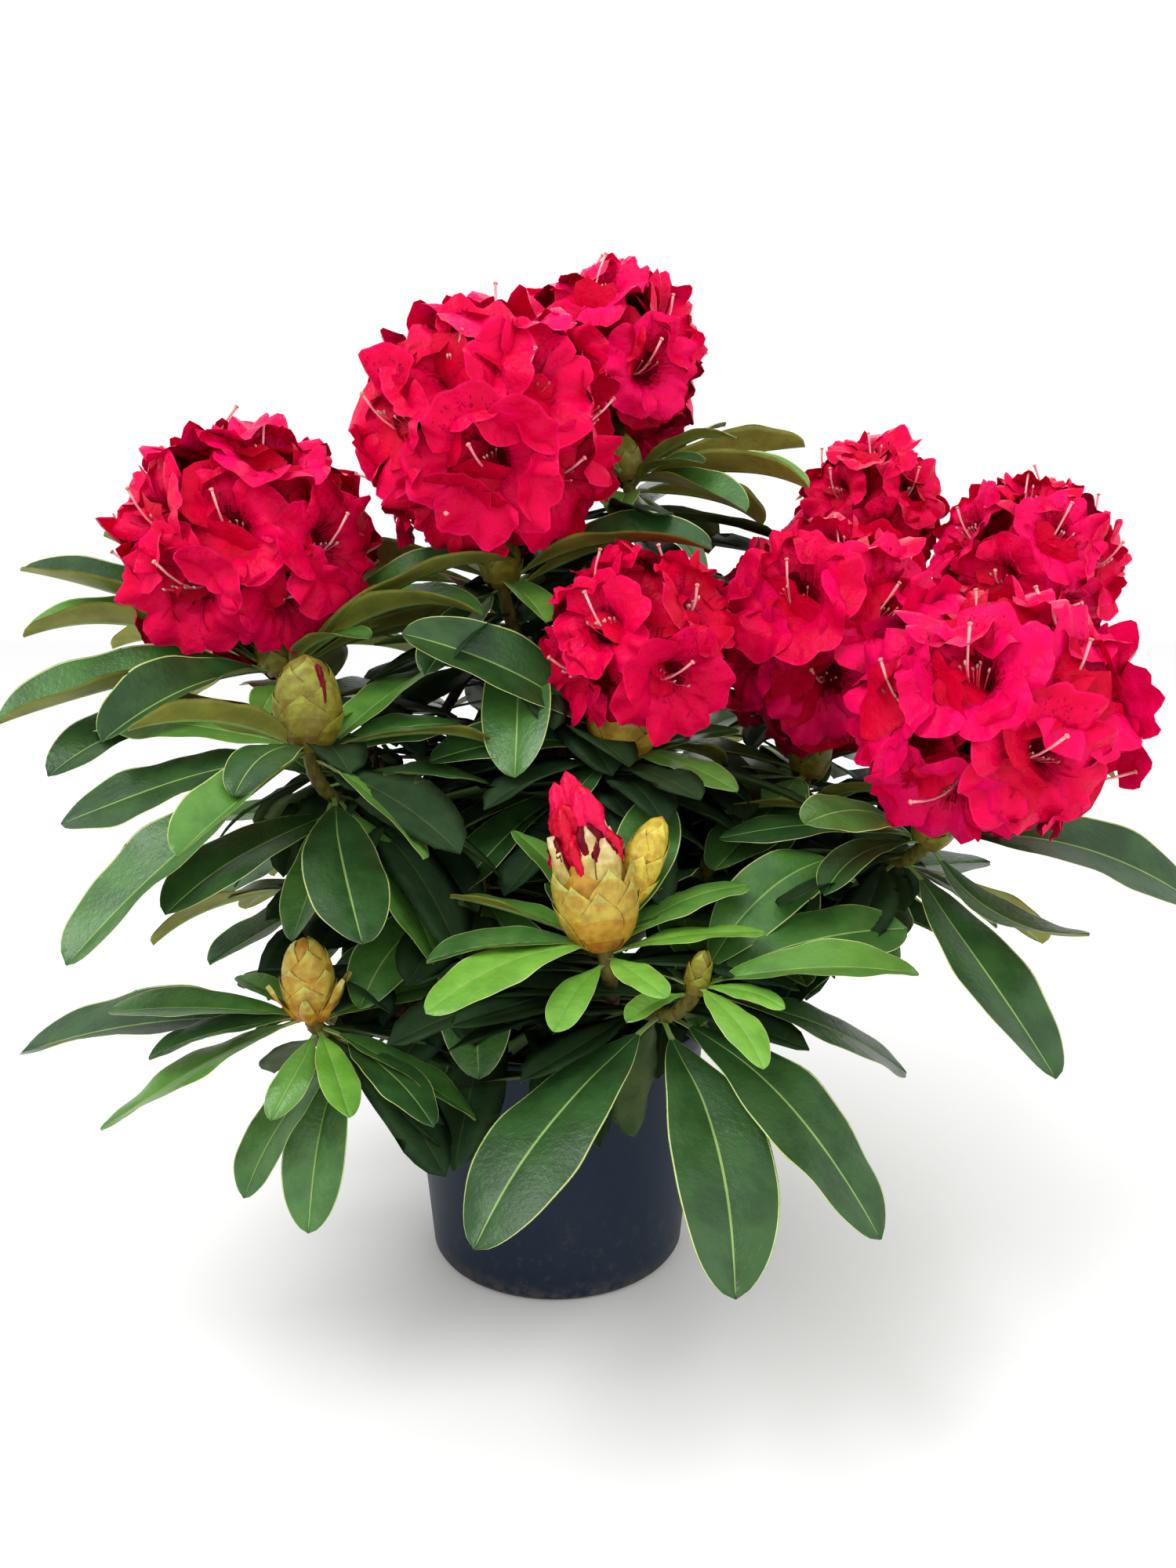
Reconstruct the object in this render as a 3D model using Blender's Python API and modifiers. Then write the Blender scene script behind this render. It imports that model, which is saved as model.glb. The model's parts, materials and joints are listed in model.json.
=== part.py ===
"""Large-leaved rhododendron shrub in flower, growing in a round nursery pot.

The plant is an assembly: pot, potting mix, trunk, boughs, and one solid for each shoot with
its whorl of leaves and its flower truss or bud. Metres, +Z up. The origin is the centre of
the pot's flat underside. Azimuths run from +X towards +Y.
"""

import math
import random
from dataclasses import dataclass, replace

import bmesh
import bpy
from mathutils import Matrix, Vector
from mathutils.bvhtree import BVHTree

# --- pot and potting mix -----------------------------------------------------------------
POT_HEIGHT = 0.165
POT_BASE_RADIUS = 0.085
POT_TOP_RADIUS = 0.100
POT_WALL = 0.0022
POT_FOOT_CHAMFER = 0.004
RIM_HEIGHT = 0.011
RIM_OVERHANG = 0.003
TURN_STEPS = 32
MIX_DEPTH_BELOW_RIM = 0.014
MIX_EDGE_DROP = 0.004
MIX_FLAT_RADIUS = 0.045

# --- clearances and the growing rule -----------------------------------------------------
GAP = 0.0003
CUTTER_GROWTH = 1.4 * GAP
TEST_GROWTH = 0.0006
MERGE_DISTANCE = 0.00002
GOLDEN_ANGLE = 137.5
SEED = 21
FIRST_AZIMUTH = 40.0
AZIMUTH_SPREAD = 8.0
LEAST_SPACE = 16.0
RISE_SPREAD = 12.0
RISE_STEP = 6.0
TIER_FALL = 10.0
FILL_DROOP = 34.0
LENGTH_RANGE = (0.85, 1.12)

# --- limbs -------------------------------------------------------------------------------
TRUNK_HEIGHT = 0.072
TRUNK_FOOT_RADIUS = 0.019
TRUNK_NECK_RADIUS = 0.0135
TRUNK_RADIUS = 0.0125
TRUNK_TIP_RADIUS = 0.0105
TRUNK_LEAN = (0.004, -0.003)
FLARE_HEIGHT = 0.012
FLARE_STEPS = ((0.0, 1.0), (0.4, 0.84))
WAIST_HEIGHT = 0.036
TRUNK_SIDES_RESOLUTION = 4
LIMB_SIDES_RESOLUTION = 1
STEM_SIDES_RESOLUTION = 0
STEM_RADIUS = 0.0038
STEM_TIP_RADIUS = 0.0042
LIMB_SEGMENTS = 5
STEM_SEGMENTS = 4
STEM_PAST_WHORL = 0.004
STEM_HANDLE = 0.33

# --- leaves ------------------------------------------------------------------------------
LEAF_HALF_WIDTH = 0.165
LEAF_THICKNESS = 0.0020
PETIOLE_HALF_WIDTH = 0.0022
PETIOLE_THICKNESS = 0.0036
PETIOLE_END = 0.12
LEAF_STATIONS = ((0.42, 0.92), (0.76, 0.90))
FILL_STATIONS = ((0.58, 1.0),)
WHORL_STEP = 0.0013
TIER_SPACING = 0.026
PETIOLE_VERTS = 6
NUDGES = ((0, 0), (0, 7), (0, -7), (8, 0), (-8, 0), (8, 7), (-8, 7), (8, -7), (-8, -7),
          (0, 14), (0, -14), (15, 0), (-15, 0), (15, 10), (-15, 10), (15, -10), (-15, -10))

# --- flowers -----------------------------------------------------------------------------
LOBES = 5
FLORET_RIM = 0.42
FLORET_NOTCH = 0.70
FLORET_RISE = 0.87
THROAT_RISE = 0.50
TUBE_RISE = 0.26
TUBE_RADIUS = 0.045
TUBE_SIDES = 3
TRUSS_CORE = 0.40
LOWEST_FLORET = -0.78
FIRST_FLORET = 0.35
FLORET_SHARES = (1.0, 0.95, 0.9, 0.84)
BUD_PROFILE = ((0.12, 0.62), (0.36, 1.0), (0.62, 0.86), (0.86, 0.42))
CORE_PROFILE = ((0.28, 0.90), (0.72, 0.90))
BUD_SIDES = 6
CORE_SIDES = 5
TIP_SIDES = 4
BUD_SINK = 0.007
OPENING_SCALES = 0.66
OPENING_PETALS = (0.3, 0.78)
TRUSS_SCALES = (0.62, 0.36)
SIDE_BUD_BASE = 0.42
SIDE_STEM_END = 0.5
SIDE_BUD_STEM = 0.0036


@dataclass(frozen=True)
class Limb:
    """A tapering bough: where it leaves the trunk, the points it passes and its radii."""

    name: str
    height: float
    via: tuple
    tip: tuple
    radius: float = 0.0060
    tip_radius: float = 0.0046


@dataclass(frozen=True)
class Leaf:
    """A blade set by hand: azimuth and rise of its chord in degrees, and its length."""

    azimuth: float
    rise: float
    length: float
    tier: int = 0
    droop: float = 28.0
    roll: float = 0.0
    stations: tuple = LEAF_STATIONS


@dataclass(frozen=True)
class Shoot:
    """One branchlet: its bough, whorl, flower head and leaves."""

    name: str
    bough: str
    along: float
    whorl: tuple
    head: tuple
    kind: str
    size: float
    florets: int = 0
    fill: int = 0
    fill_rise: float = 0.0
    fill_length: float = 0.13
    leaves: tuple = ()
    side_bud: tuple = ()


BOUGHS = (
    Limb("bough_left", 0.054, (-0.060, -0.018, 0.262), (-0.118, -0.050, 0.312)),
    Limb("bough_low_left", 0.026, (-0.052, -0.062, 0.200), (-0.106, -0.128, 0.196)),
    Limb("bough_front", 0.040, (0.016, -0.070, 0.206), (0.034, -0.142, 0.218)),
    Limb("bough_right", 0.056, (0.068, 0.004, 0.246), (0.140, 0.002, 0.276)),
    Limb("bough_back_right", 0.030, (0.058, 0.058, 0.226), (0.116, 0.118, 0.290)),
    Limb("bough_back", 0.046, (0.012, 0.050, 0.262), (0.030, 0.078, 0.400)),
    Limb("bough_back_left", 0.024, (-0.052, 0.056, 0.222), (-0.098, 0.116, 0.310)),
    Limb("bough_centre", 0.072, (0.004, -0.006, 0.280), (0.008, -0.016, 0.322)),
)

SHOOTS = (
    Shoot("shoot_left_truss", "bough_left", 1.0, (-0.172, -0.015, 0.392),
          (-0.190, -0.011, 0.466), "truss", 0.084, 12, 7, 4, 0.14,
          (Leaf(210, -10, 0.165, 0, 34, -22), Leaf(240, -12, 0.140, 0, 40, -15),
           Leaf(215, -8, 0.152, 1, 34, -15), Leaf(196, 13, 0.155, 0, 40, -20),
           Leaf(182, 15, 0.172, 0, 34, -8), Leaf(322, 20, 0.090, 0, 60),
           Leaf(344, 13, 0.150, 0, 60), Leaf(358, 30, 0.170, 0, 40, 10),
           Leaf(272, -9, 0.070, 0, 40), Leaf(167, 32, 0.155, 0, 20))),
    Shoot("shoot_left_bud", "bough_left", 0.80, (-0.131, -0.118, 0.358),
          (-0.133, -0.112, 0.408), "bud", 0.018, 0, 4, -8, 0.11,
          (Leaf(218, -35, 0.165, 0, 10), Leaf(251, -16, 0.122), Leaf(255, -5, 0.085, 0, 60),
           Leaf(165, -2, 0.140, 0, 28, -20), Leaf(187, -16, 0.140, 0, 28, -20),
           Leaf(226, 14, 0.110, 0, 50, 30), Leaf(310, -16, 0.120, 0, 34, -18),
           Leaf(40, 8, 0.100, 0, 30, 22), Leaf(65, 20, 0.120), Leaf(288, -24, 0.130, 1),
           Leaf(236, -11, 0.140, 2), Leaf(256, -50, 0.090, 1), Leaf(320, -44, 0.120, 1))),
    Shoot("shoot_low_left_bud", "bough_low_left", 1.0, (-0.126, -0.160, 0.220),
          (-0.128, -0.163, 0.264), "bud", 0.015, 0, 3, -6, 0.10,
          (Leaf(212, -20, 0.115), Leaf(204, -4, 0.085), Leaf(190, 6, 0.105),
           Leaf(176, -8, 0.168, 0, 30, -12), Leaf(150, 15, 0.060), Leaf(30, 6, 0.085, 0, 28, 15),
           Leaf(350, -28, 0.100), Leaf(297, -25, 0.065), Leaf(255, -26, 0.060),
           Leaf(228, -42, 0.100, 1), Leaf(258, -54, 0.105, 1))),
    Shoot("shoot_front_bud", "bough_front", 1.0, (0.029, -0.176, 0.264),
          (0.015, -0.163, 0.350), "opening_bud", 0.022, 0, 3, 0, 0.09,
          (Leaf(215, -8, 0.105, 0, 40), Leaf(160, 12, 0.090), Leaf(132, 34, 0.090),
           Leaf(23, 19, 0.090), Leaf(5, 6, 0.085), Leaf(298, -2, 0.060),
           Leaf(68, 40, 0.110), Leaf(243, -18, 0.060)), (0.060, -0.150, 0.326, 0.0105)),
    Shoot("shoot_front_low", "bough_front", 0.66, (0.076, -0.182, 0.245),
          (0.080, -0.184, 0.264), "leafy", 0.006, 0, 3, 0, 0.10,
          (Leaf(294, -13, 0.070), Leaf(330, 0, 0.050), Leaf(355, 6, 0.115, 0, 34, 12),
           Leaf(40, 36, 0.120, 0, 20, 30), Leaf(18, 16, 0.130, 0, 34, 15),
           Leaf(14, -24, 0.140), Leaf(228, -1, 0.050), Leaf(228, -26, 0.158, 1, 20),
           Leaf(282, -31, 0.155, 1, 20), Leaf(316, -30, 0.160, 1, 54, 10),
           Leaf(110, -68, 0.095, 1))),
    Shoot("shoot_centre_truss", "bough_centre", 0.86, (0.040, -0.062, 0.349),
          (0.050, -0.070, 0.410), "opening_truss", 0.062, 8, 5, -5, 0.11,
          (Leaf(190, 28, 0.146, 0, 36, -50), Leaf(192, -2, 0.115, 0, 40, -25),
           Leaf(322, -11, 0.085, 0, 34, 10), Leaf(196, -24, 0.140, 1),
           Leaf(153, 25, 0.130), Leaf(240, -24, 0.070), Leaf(215, -40, 0.120, 1),
           Leaf(282, -48, 0.110, 1), Leaf(350, -40, 0.120, 1))),
    Shoot("shoot_centre_top", "bough_centre", 1.0, (-0.033, -0.003, 0.447),
          (-0.040, -0.021, 0.533), "truss", 0.085, 12, 8, 0, 0.14,
          (Leaf(291, -14, 0.090), Leaf(158, 4, 0.140), Leaf(333, 2, 0.140, 0, 50, 10),
           Leaf(250, -24, 0.100), Leaf(310, -34, 0.120, 1), Leaf(265, -42, 0.130, 1))),
    Shoot("shoot_top_truss", "bough_back", 1.0, (0.048, 0.070, 0.515),
          (0.034, 0.086, 0.588), "truss", 0.074, 10, 5, 5, 0.13,
          (Leaf(14, 9, 0.132, 0, 24, -10), Leaf(332, -2, 0.130, 0, 26),
           Leaf(312, -14, 0.110, 0, 40, 10), Leaf(326, 20, 0.090, 0, 50),
           Leaf(32, 31, 0.096), Leaf(306, 8, 0.080, 0, 50, 20), Leaf(305, -34, 0.100),
           Leaf(30, -8, 0.120), Leaf(255, -40, 0.120, 1), Leaf(340, -36, 0.130, 1),
           Leaf(262, -14, 0.075, 0, 50), Leaf(288, -14, 0.100, 1, 40))),
    Shoot("shoot_right_truss", "bough_right", 0.78, (0.166, 0.010, 0.322),
          (0.176, 0.020, 0.408), "truss", 0.088, 12, 6, 0, 0.13,
          (Leaf(222, -27, 0.140), Leaf(248, -18, 0.120), Leaf(262, -38, 0.120, 1),
           Leaf(200, -4, 0.120), Leaf(238, -46, 0.130, 1))),
    Shoot("shoot_right_front_truss", "bough_right", 1.0, (0.214, -0.104, 0.304),
          (0.234, -0.135, 0.376), "truss", 0.079, 11, 4, 0, 0.13,
          (Leaf(292, -32, 0.155, 1, 20), Leaf(306, -17, 0.112, 0, -64),
           Leaf(352, -13, 0.158, 0, 54, 24), Leaf(218, -9, 0.090, 0, 40),
           Leaf(228, -38, 0.130, 1), Leaf(20, -30, 0.130, 1), Leaf(325, -24, 0.070, 1),
           Leaf(220, 14, 0.110, 0, 60, -25))),
    Shoot("shoot_right_back_truss", "bough_back_right", 1.0, (0.232, 0.196, 0.424),
          (0.245, 0.202, 0.500), "truss", 0.063, 8, 8, -10, 0.13),
    Shoot("shoot_far_right_truss", "bough_right", 0.58, (0.318, 0.108, 0.382),
          (0.335, 0.104, 0.457), "truss", 0.070, 10, 8, -16, 0.12),
    Shoot("shoot_back_left_truss", "bough_back_left", 0.78, (-0.222, 0.176, 0.388),
          (-0.240, 0.190, 0.458), "truss", 0.064, 8, 9, -6, 0.13),
    Shoot("shoot_back_top_truss", "bough_back_left", 1.0, (-0.050, 0.176, 0.440),
          (-0.056, 0.190, 0.516), "truss", 0.068, 8, 9, -16, 0.13),
    Shoot("shoot_back_right_truss", "bough_back_right", 0.76, (0.170, 0.232, 0.338),
          (0.186, 0.252, 0.410), "truss", 0.066, 8, 9, -14, 0.13),
    Shoot("shoot_back_bud", "bough_back", 0.62, (0.052, 0.232, 0.350),
          (0.054, 0.242, 0.398), "bud", 0.018, 0, 10, -14, 0.14),
    Shoot("shoot_low_back_left", "bough_back_left", 0.52, (-0.150, 0.120, 0.262),
          (-0.154, 0.124, 0.304), "bud", 0.014, 0, 9, -12, 0.13),
    Shoot("shoot_low_back_right", "bough_back_right", 0.50, (0.176, 0.128, 0.236),
          (0.180, 0.132, 0.256), "leafy", 0.006, 0, 9, -12, 0.13),
    Shoot("shoot_low_right", "bough_right", 0.46, (0.190, 0.040, 0.250),
          (0.194, 0.041, 0.268), "leafy", 0.006, 0, 8, -2, 0.13),
    Shoot("shoot_low_back", "bough_back", 0.5, (0.000, 0.142, 0.246),
          (0.000, 0.146, 0.264), "leafy", 0.006, 0, 9, -16, 0.14),
    Shoot("shoot_low_left", "bough_left", 0.46, (-0.142, 0.028, 0.240),
          (-0.146, 0.030, 0.258), "leafy", 0.006, 0, 9, -14, 0.14),
    Shoot("shoot_inner_left", "bough_low_left", 0.55, (-0.046, -0.062, 0.264),
          (-0.048, -0.066, 0.284), "leafy", 0.006, 0, 6, -14, 0.12,
          (Leaf(205, -30, 0.130), Leaf(240, -24, 0.120), Leaf(275, -34, 0.130),
           Leaf(300, -20, 0.110), Leaf(225, -50, 0.130, 1), Leaf(262, -58, 0.110, 1))),
    Shoot("shoot_inner_right", "bough_right", 0.36, (0.096, -0.046, 0.266),
          (0.098, -0.050, 0.286), "leafy", 0.006, 0, 6, -12, 0.12,
          (Leaf(345, -14, 0.110), Leaf(300, -24, 0.120), Leaf(8, -20, 0.120),
           Leaf(262, -34, 0.110))),
)

STEM, LEAF, PETAL, BUD = range(4)
FINISHES = (
    ("bark_and_stem", (0.16, 0.13, 0.06, 1.0), 0.75),
    ("leaf", (0.05, 0.16, 0.04, 1.0), 0.40),
    ("petal", (0.75, 0.01, 0.07, 1.0), 0.55),
    ("bud_scale", (0.42, 0.34, 0.09, 1.0), 0.55),
)


def clear_scene():
    """Remove every object that the new file starts with."""
    for item in list(bpy.data.objects):
        bpy.data.objects.remove(item, do_unlink=True)


def make_material(name, colour, roughness):
    """A plain Principled material."""
    material = bpy.data.materials.new(name)
    material.use_nodes = True
    shader = material.node_tree.nodes["Principled BSDF"]
    shader.inputs["Base Color"].default_value = colour
    shader.inputs["Roughness"].default_value = roughness
    material.diffuse_color = colour
    return material


def link_object(name, mesh, collection, materials):
    """Make an object of a mesh, link it and give it its material slots."""
    item = bpy.data.objects.new(name, mesh)
    collection.objects.link(item)
    for material in materials:
        mesh.materials.append(material)
    return item


def turned(name, profile, collection, material):
    """A solid turned about Z from a profile that runs down its outer side."""
    mesh = bpy.data.meshes.new(name)
    points = [(radius, 0.0, height) for radius, height in profile]
    edges = [(i, i + 1) for i in range(len(points) - 1)]
    mesh.from_pydata(points, edges, [])
    item = link_object(name, mesh, collection, [material])
    screw = item.modifiers.new("turn", "SCREW")
    screw.steps = TURN_STEPS
    screw.render_steps = TURN_STEPS
    screw.use_merge_vertices = True
    screw.merge_threshold = MERGE_DISTANCE
    screw.use_smooth_shade = True
    return item


def pot_radius(height):
    """Outer radius of the tapered pot wall at a height."""
    return POT_BASE_RADIUS + (POT_TOP_RADIUS - POT_BASE_RADIUS) * height / POT_HEIGHT


def make_pot(collection):
    """The pot: flat underside, tapered wall and a rim band that stands proud."""
    rim_foot = POT_HEIGHT - RIM_HEIGHT
    rim_radius = POT_TOP_RADIUS + RIM_OVERHANG
    profile = [
        (0.0, POT_WALL),
        (pot_radius(POT_WALL) - POT_WALL - POT_FOOT_CHAMFER, POT_WALL),
        (pot_radius(POT_FOOT_CHAMFER) - POT_WALL, POT_WALL + POT_FOOT_CHAMFER),
        (pot_radius(POT_HEIGHT) - POT_WALL, POT_HEIGHT),
        (rim_radius, POT_HEIGHT),
        (rim_radius, rim_foot),
        (pot_radius(rim_foot), rim_foot - RIM_OVERHANG / 2),
        (pot_radius(POT_FOOT_CHAMFER), POT_FOOT_CHAMFER),
        (POT_BASE_RADIUS - POT_FOOT_CHAMFER, 0.0),
        (0.0, 0.0),
    ]
    material = make_material("pot_plastic", (0.014, 0.018, 0.028, 1.0), 0.55)
    return turned("pot", profile, collection, material)


def mix_top():
    """Height of the flat middle of the potting mix."""
    return POT_HEIGHT - MIX_DEPTH_BELOW_RIM


def make_potting_mix(collection):
    """The mix fills the pot and keeps a fine gap to its wall and floor."""
    floor = POT_WALL + POT_FOOT_CHAMFER + GAP
    edge = mix_top() - MIX_EDGE_DROP
    profile = [
        (0.0, mix_top()),
        (MIX_FLAT_RADIUS, mix_top()),
        (pot_radius(edge) - POT_WALL - 2 * GAP, edge),
        (pot_radius(floor) - POT_WALL - 2 * GAP, floor),
        (pot_radius(floor) - POT_WALL - POT_FOOT_CHAMFER - GAP, POT_WALL + GAP),
        (0.0, POT_WALL + GAP),
    ]
    material = make_material("potting_mix", (0.035, 0.022, 0.014, 1.0), 0.95)
    return turned("potting_mix", profile, collection, material)


def tube(name, points, radii, resolution, collection, materials, grow=0.0):
    """A capped tube of changing radius as a welded mesh object."""
    curve = bpy.data.curves.new(name, "CURVE")
    curve.dimensions = "3D"
    curve.bevel_depth = 1.0
    curve.bevel_resolution = resolution
    curve.use_fill_caps = True
    spline = curve.splines.new("POLY")
    spline.points.add(len(points) - 1)
    for point, place, radius in zip(spline.points, points, radii):
        point.co = (*place, 1.0)
        point.radius = radius + grow
    holder = bpy.data.objects.new(name, curve)
    collection.objects.link(holder)
    bpy.context.view_layer.update()
    evaluated = holder.evaluated_get(bpy.context.evaluated_depsgraph_get())
    mesh = bpy.data.meshes.new_from_object(evaluated)
    bpy.data.objects.remove(holder, do_unlink=True)
    bpy.data.curves.remove(curve)
    mesh.materials.clear()
    shape = bmesh.new()
    shape.from_mesh(mesh)
    bmesh.ops.remove_doubles(shape, verts=shape.verts, dist=MERGE_DISTANCE)
    shape.to_mesh(mesh)
    shape.free()
    mesh.name = name
    return link_object(name, mesh, collection, materials)


def bezier(start, leave, arrive, end, share):
    """Point on a cubic Bezier curve."""
    rest = 1.0 - share
    return (start * rest ** 3 + leave * 3 * rest ** 2 * share
            + arrive * 3 * rest * share ** 2 + end * share ** 3)


def bough_path(bough):
    """Points of a bough, which bends through its middle point."""
    start = Vector((TRUNK_LEAN[0] * bough.height / TRUNK_HEIGHT,
                    TRUNK_LEAN[1] * bough.height / TRUNK_HEIGHT,
                    mix_top() + bough.height))
    via, tip = Vector(bough.via), Vector(bough.tip)
    bend = via * 2 - (start + tip) / 2
    steps = [i / LIMB_SEGMENTS for i in range(LIMB_SEGMENTS + 1)]
    return [start * (1 - t) ** 2 + bend * 2 * t * (1 - t) + tip * t * t for t in steps]


def along_path(points, share):
    """Place and direction at a share of a path's points."""
    place = share * (len(points) - 1)
    index = min(int(place), len(points) - 2)
    step = points[index + 1] - points[index]
    return points[index] + step * (place - index), step.normalized()


def stem_path(shoot, paths):
    """Points of a branchlet from its bough to its flower head."""
    start, heading = along_path(paths[shoot.bough], shoot.along)
    whorl, head = Vector(shoot.whorl), Vector(shoot.head)
    axis = (head - whorl).normalized()
    reach = (whorl - start).length
    outward = (heading + (whorl - start).normalized()).normalized()
    leave = start + outward * reach * STEM_HANDLE
    arrive = whorl - axis * reach * STEM_HANDLE
    steps = [i / STEM_SEGMENTS for i in range(STEM_SEGMENTS + 1)]
    return [bezier(start, leave, arrive, whorl, t) for t in steps]


def ring_faces(first, second):
    """Quads between two rings of vertex numbers."""
    count = len(first)
    return [(first[i], first[(i + 1) % count], second[(i + 1) % count], second[i])
            for i in range(count)]


def fan_faces(tip, ring, outward):
    """Triangles from a point to a ring, before it or after it."""
    count = len(ring)
    pairs = [(ring[i], ring[(i + 1) % count]) for i in range(count)]
    if outward:
        return [(a, b, tip) for a, b in pairs]
    return [(b, a, tip) for a, b in pairs]


def leaf_shape(root, leaf, grow=0.0):
    """Vertices and faces of one blade: flat on top and keeled below, along a drooping arc."""
    azimuth = math.radians(leaf.azimuth)
    flat = Vector((math.cos(azimuth), math.sin(azimuth), 0.0))
    across = Vector((math.sin(azimuth), -math.cos(azimuth), 0.0))
    petiole = (PETIOLE_HALF_WIDTH, PETIOLE_THICKNESS)
    sections = [(0.0, *petiole), (PETIOLE_END, *petiole)]
    for share, width in leaf.stations:
        sections.append((share, LEAF_HALF_WIDTH * leaf.length * width, LEAF_THICKNESS))
    place = Vector(root)
    verts, rings = [], []
    reached = 0.0
    for share, half, thick in sections + [(1.0, 0.0, 0.0)]:
        pitch = math.radians(leaf.rise + leaf.droop * (0.5 - (share + reached) / 2))
        along = flat * math.cos(pitch) + Vector((0, 0, math.sin(pitch)))
        place = place + along * (leaf.length * (share - reached))
        reached = share
        if share == 1.0:
            verts.append(tuple(place + along * grow))
            break
        side = Matrix.Rotation(math.radians(leaf.roll), 3, along) @ across
        up = side.cross(along).normalized()
        top = place + up * (thick / 3 + grow)
        ring = [top - side * (half + grow), top + side * (half + grow),
                place - up * (2 * thick / 3 + grow)]
        rings.append(list(range(len(verts), len(verts) + 3)))
        verts.extend(tuple(corner) for corner in ring)
    faces = [tuple(reversed(rings[0]))]
    for first, second in zip(rings, rings[1:]):
        faces += ring_faces(first, second)
    faces += fan_faces(len(verts) - 1, rings[-1], True)
    return verts, faces


def bridge_faces(small, large):
    """Triangles between a ring of few corners and a ring of many, both turning one way."""
    faces = []
    low = 0
    for high in range(len(large)):
        corner = large[high]
        following = large[(high + 1) % len(large)]
        faces.append((small[low % len(small)], following, corner))
        if (high + 1) * len(small) >= (low + 1) * len(large):
            faces.append((small[low % len(small)], small[(low + 1) % len(small)], following))
            low += 1
    return faces


def floret_shape(centre, axis, length, spin, grow=0.0):
    """A five-lobed funnel on a narrow tube, with a hollow throat and a scalloped rim."""
    axis = axis.normalized()
    side = axis.orthogonal().normalized()
    other = axis.cross(side)

    def corner(angle, rise, radius):
        spoke = side * math.cos(angle) + other * math.sin(angle)
        return tuple(centre + axis * rise + spoke * radius)

    verts = [tuple(centre + axis * (length * THROAT_RISE))]
    tube_ring = []
    for index in range(TUBE_SIDES):
        tube_ring.append(len(verts))
        angle = spin + math.tau * index / TUBE_SIDES
        verts.append(corner(angle, length * TUBE_RISE, length * TUBE_RADIUS + grow))
    rim = []
    for index in range(2 * LOBES):
        share = 1.0 if index % 2 == 0 else FLORET_NOTCH
        rim.append(len(verts))
        angle = spin + math.pi * index / LOBES
        verts.append(corner(angle, length * FLORET_RISE + grow,
                            length * FLORET_RIM * share + grow))
    faces = [tuple(reversed(tube_ring))]
    faces += bridge_faces(tube_ring, rim)
    faces += fan_faces(0, rim, True)
    return verts, faces


def bud_shape(base, top, radius, profile=BUD_PROFILE, sides=BUD_SIDES):
    """A pointed ovoid as rings about its axis."""
    axis = top - base
    side = axis.orthogonal().normalized()
    other = axis.normalized().cross(side)
    verts, rings = [tuple(base)], []
    for share, wide in profile:
        rings.append(list(range(len(verts), len(verts) + sides)))
        for corner in range(sides):
            angle = math.tau * corner / sides
            spoke = side * math.cos(angle) + other * math.sin(angle)
            verts.append(tuple(base + axis * share + spoke * (radius * wide)))
    verts.append(tuple(top))
    faces = fan_faces(0, rings[0], False)
    for first, second in zip(rings, rings[1:]):
        faces += ring_faces(first, second)
    faces += fan_faces(len(verts) - 1, rings[-1], True)
    return verts, faces


def tree_of(verts, faces):
    """Search tree of a shape."""
    return BVHTree.FromPolygons([Vector(v) for v in verts], faces)


class Crown:
    """Keeps what has grown so far, so that no two solids meet."""

    def __init__(self):
        self.solids = []
        self.blades = {}
        self.flowers = {}

    def add(self, owner, verts, faces):
        """Record a shape that another owner's pieces have to clear."""
        self.solids.append((owner, tree_of(verts, faces)))

    def add_mesh(self, owner, mesh):
        """Record a finished mesh."""
        faces = [tuple(face.vertices) for face in mesh.polygons]
        self.add(owner, [vert.co for vert in mesh.vertices], faces)

    def is_clear(self, owner, verts, faces):
        """Whether a shape meets nothing that belongs to another owner."""
        tree = tree_of(verts, faces)
        return not any(other != owner and tree.overlap(solid) for other, solid in self.solids)

    def blade_is_clear(self, owner, verts, faces, past_flowers):
        """Whether a blade beyond its petiole clears its own shoot's blades and flowers."""
        tree = tree_of(verts, faces)
        near = list(self.blades.get(owner, []))
        if not past_flowers:
            near += self.flowers.get(owner, [])
        return not any(tree.overlap(other) for other in near)

    def add_blade(self, owner, verts, faces):
        """Record a blade for its own shoot."""
        self.blades.setdefault(owner, []).append(tree_of(verts, faces))

    def add_flower(self, owner, verts, faces):
        """Record a floret, core or bud for its own shoot."""
        self.flowers.setdefault(owner, []).append(tree_of(verts, faces))


def outer_part(verts, faces):
    """Faces of a blade beyond its petiole."""
    return verts, [face for face in faces if min(face) >= PETIOLE_VERTS]


def truss_axes(shoot):
    """Directions of a truss's florets, even over the ball above its stem."""
    axis = (Vector(shoot.head) - Vector(shoot.whorl)).normalized()
    turn = axis.to_track_quat("Z", "Y")
    directions = []
    for index in range(shoot.florets):
        height = 1.0 - (1.0 - LOWEST_FLORET) * (index + FIRST_FLORET) / shoot.florets
        angle = math.radians(GOLDEN_ANGLE) * index
        wide = math.sqrt(max(0.0, 1.0 - height * height))
        spoke = Vector((wide * math.cos(angle), wide * math.sin(angle), height))
        directions.append((turn @ spoke, angle))
    return directions


def grow_truss(shoot, crown):
    """Florets of one truss that clear every other shoot."""
    centre = Vector(shoot.head)
    shapes = []
    for direction, spin in truss_axes(shoot):
        for share in FLORET_SHARES:
            test = floret_shape(centre, direction, shoot.size * share, spin, TEST_GROWTH)
            if crown.is_clear(shoot.name, *test):
                shape = floret_shape(centre, direction, shoot.size * share, spin)
                crown.add(shoot.name, *shape)
                crown.add_flower(shoot.name, *shape)
                shapes.append((PETAL, shape))
                break
    return shapes


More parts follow.
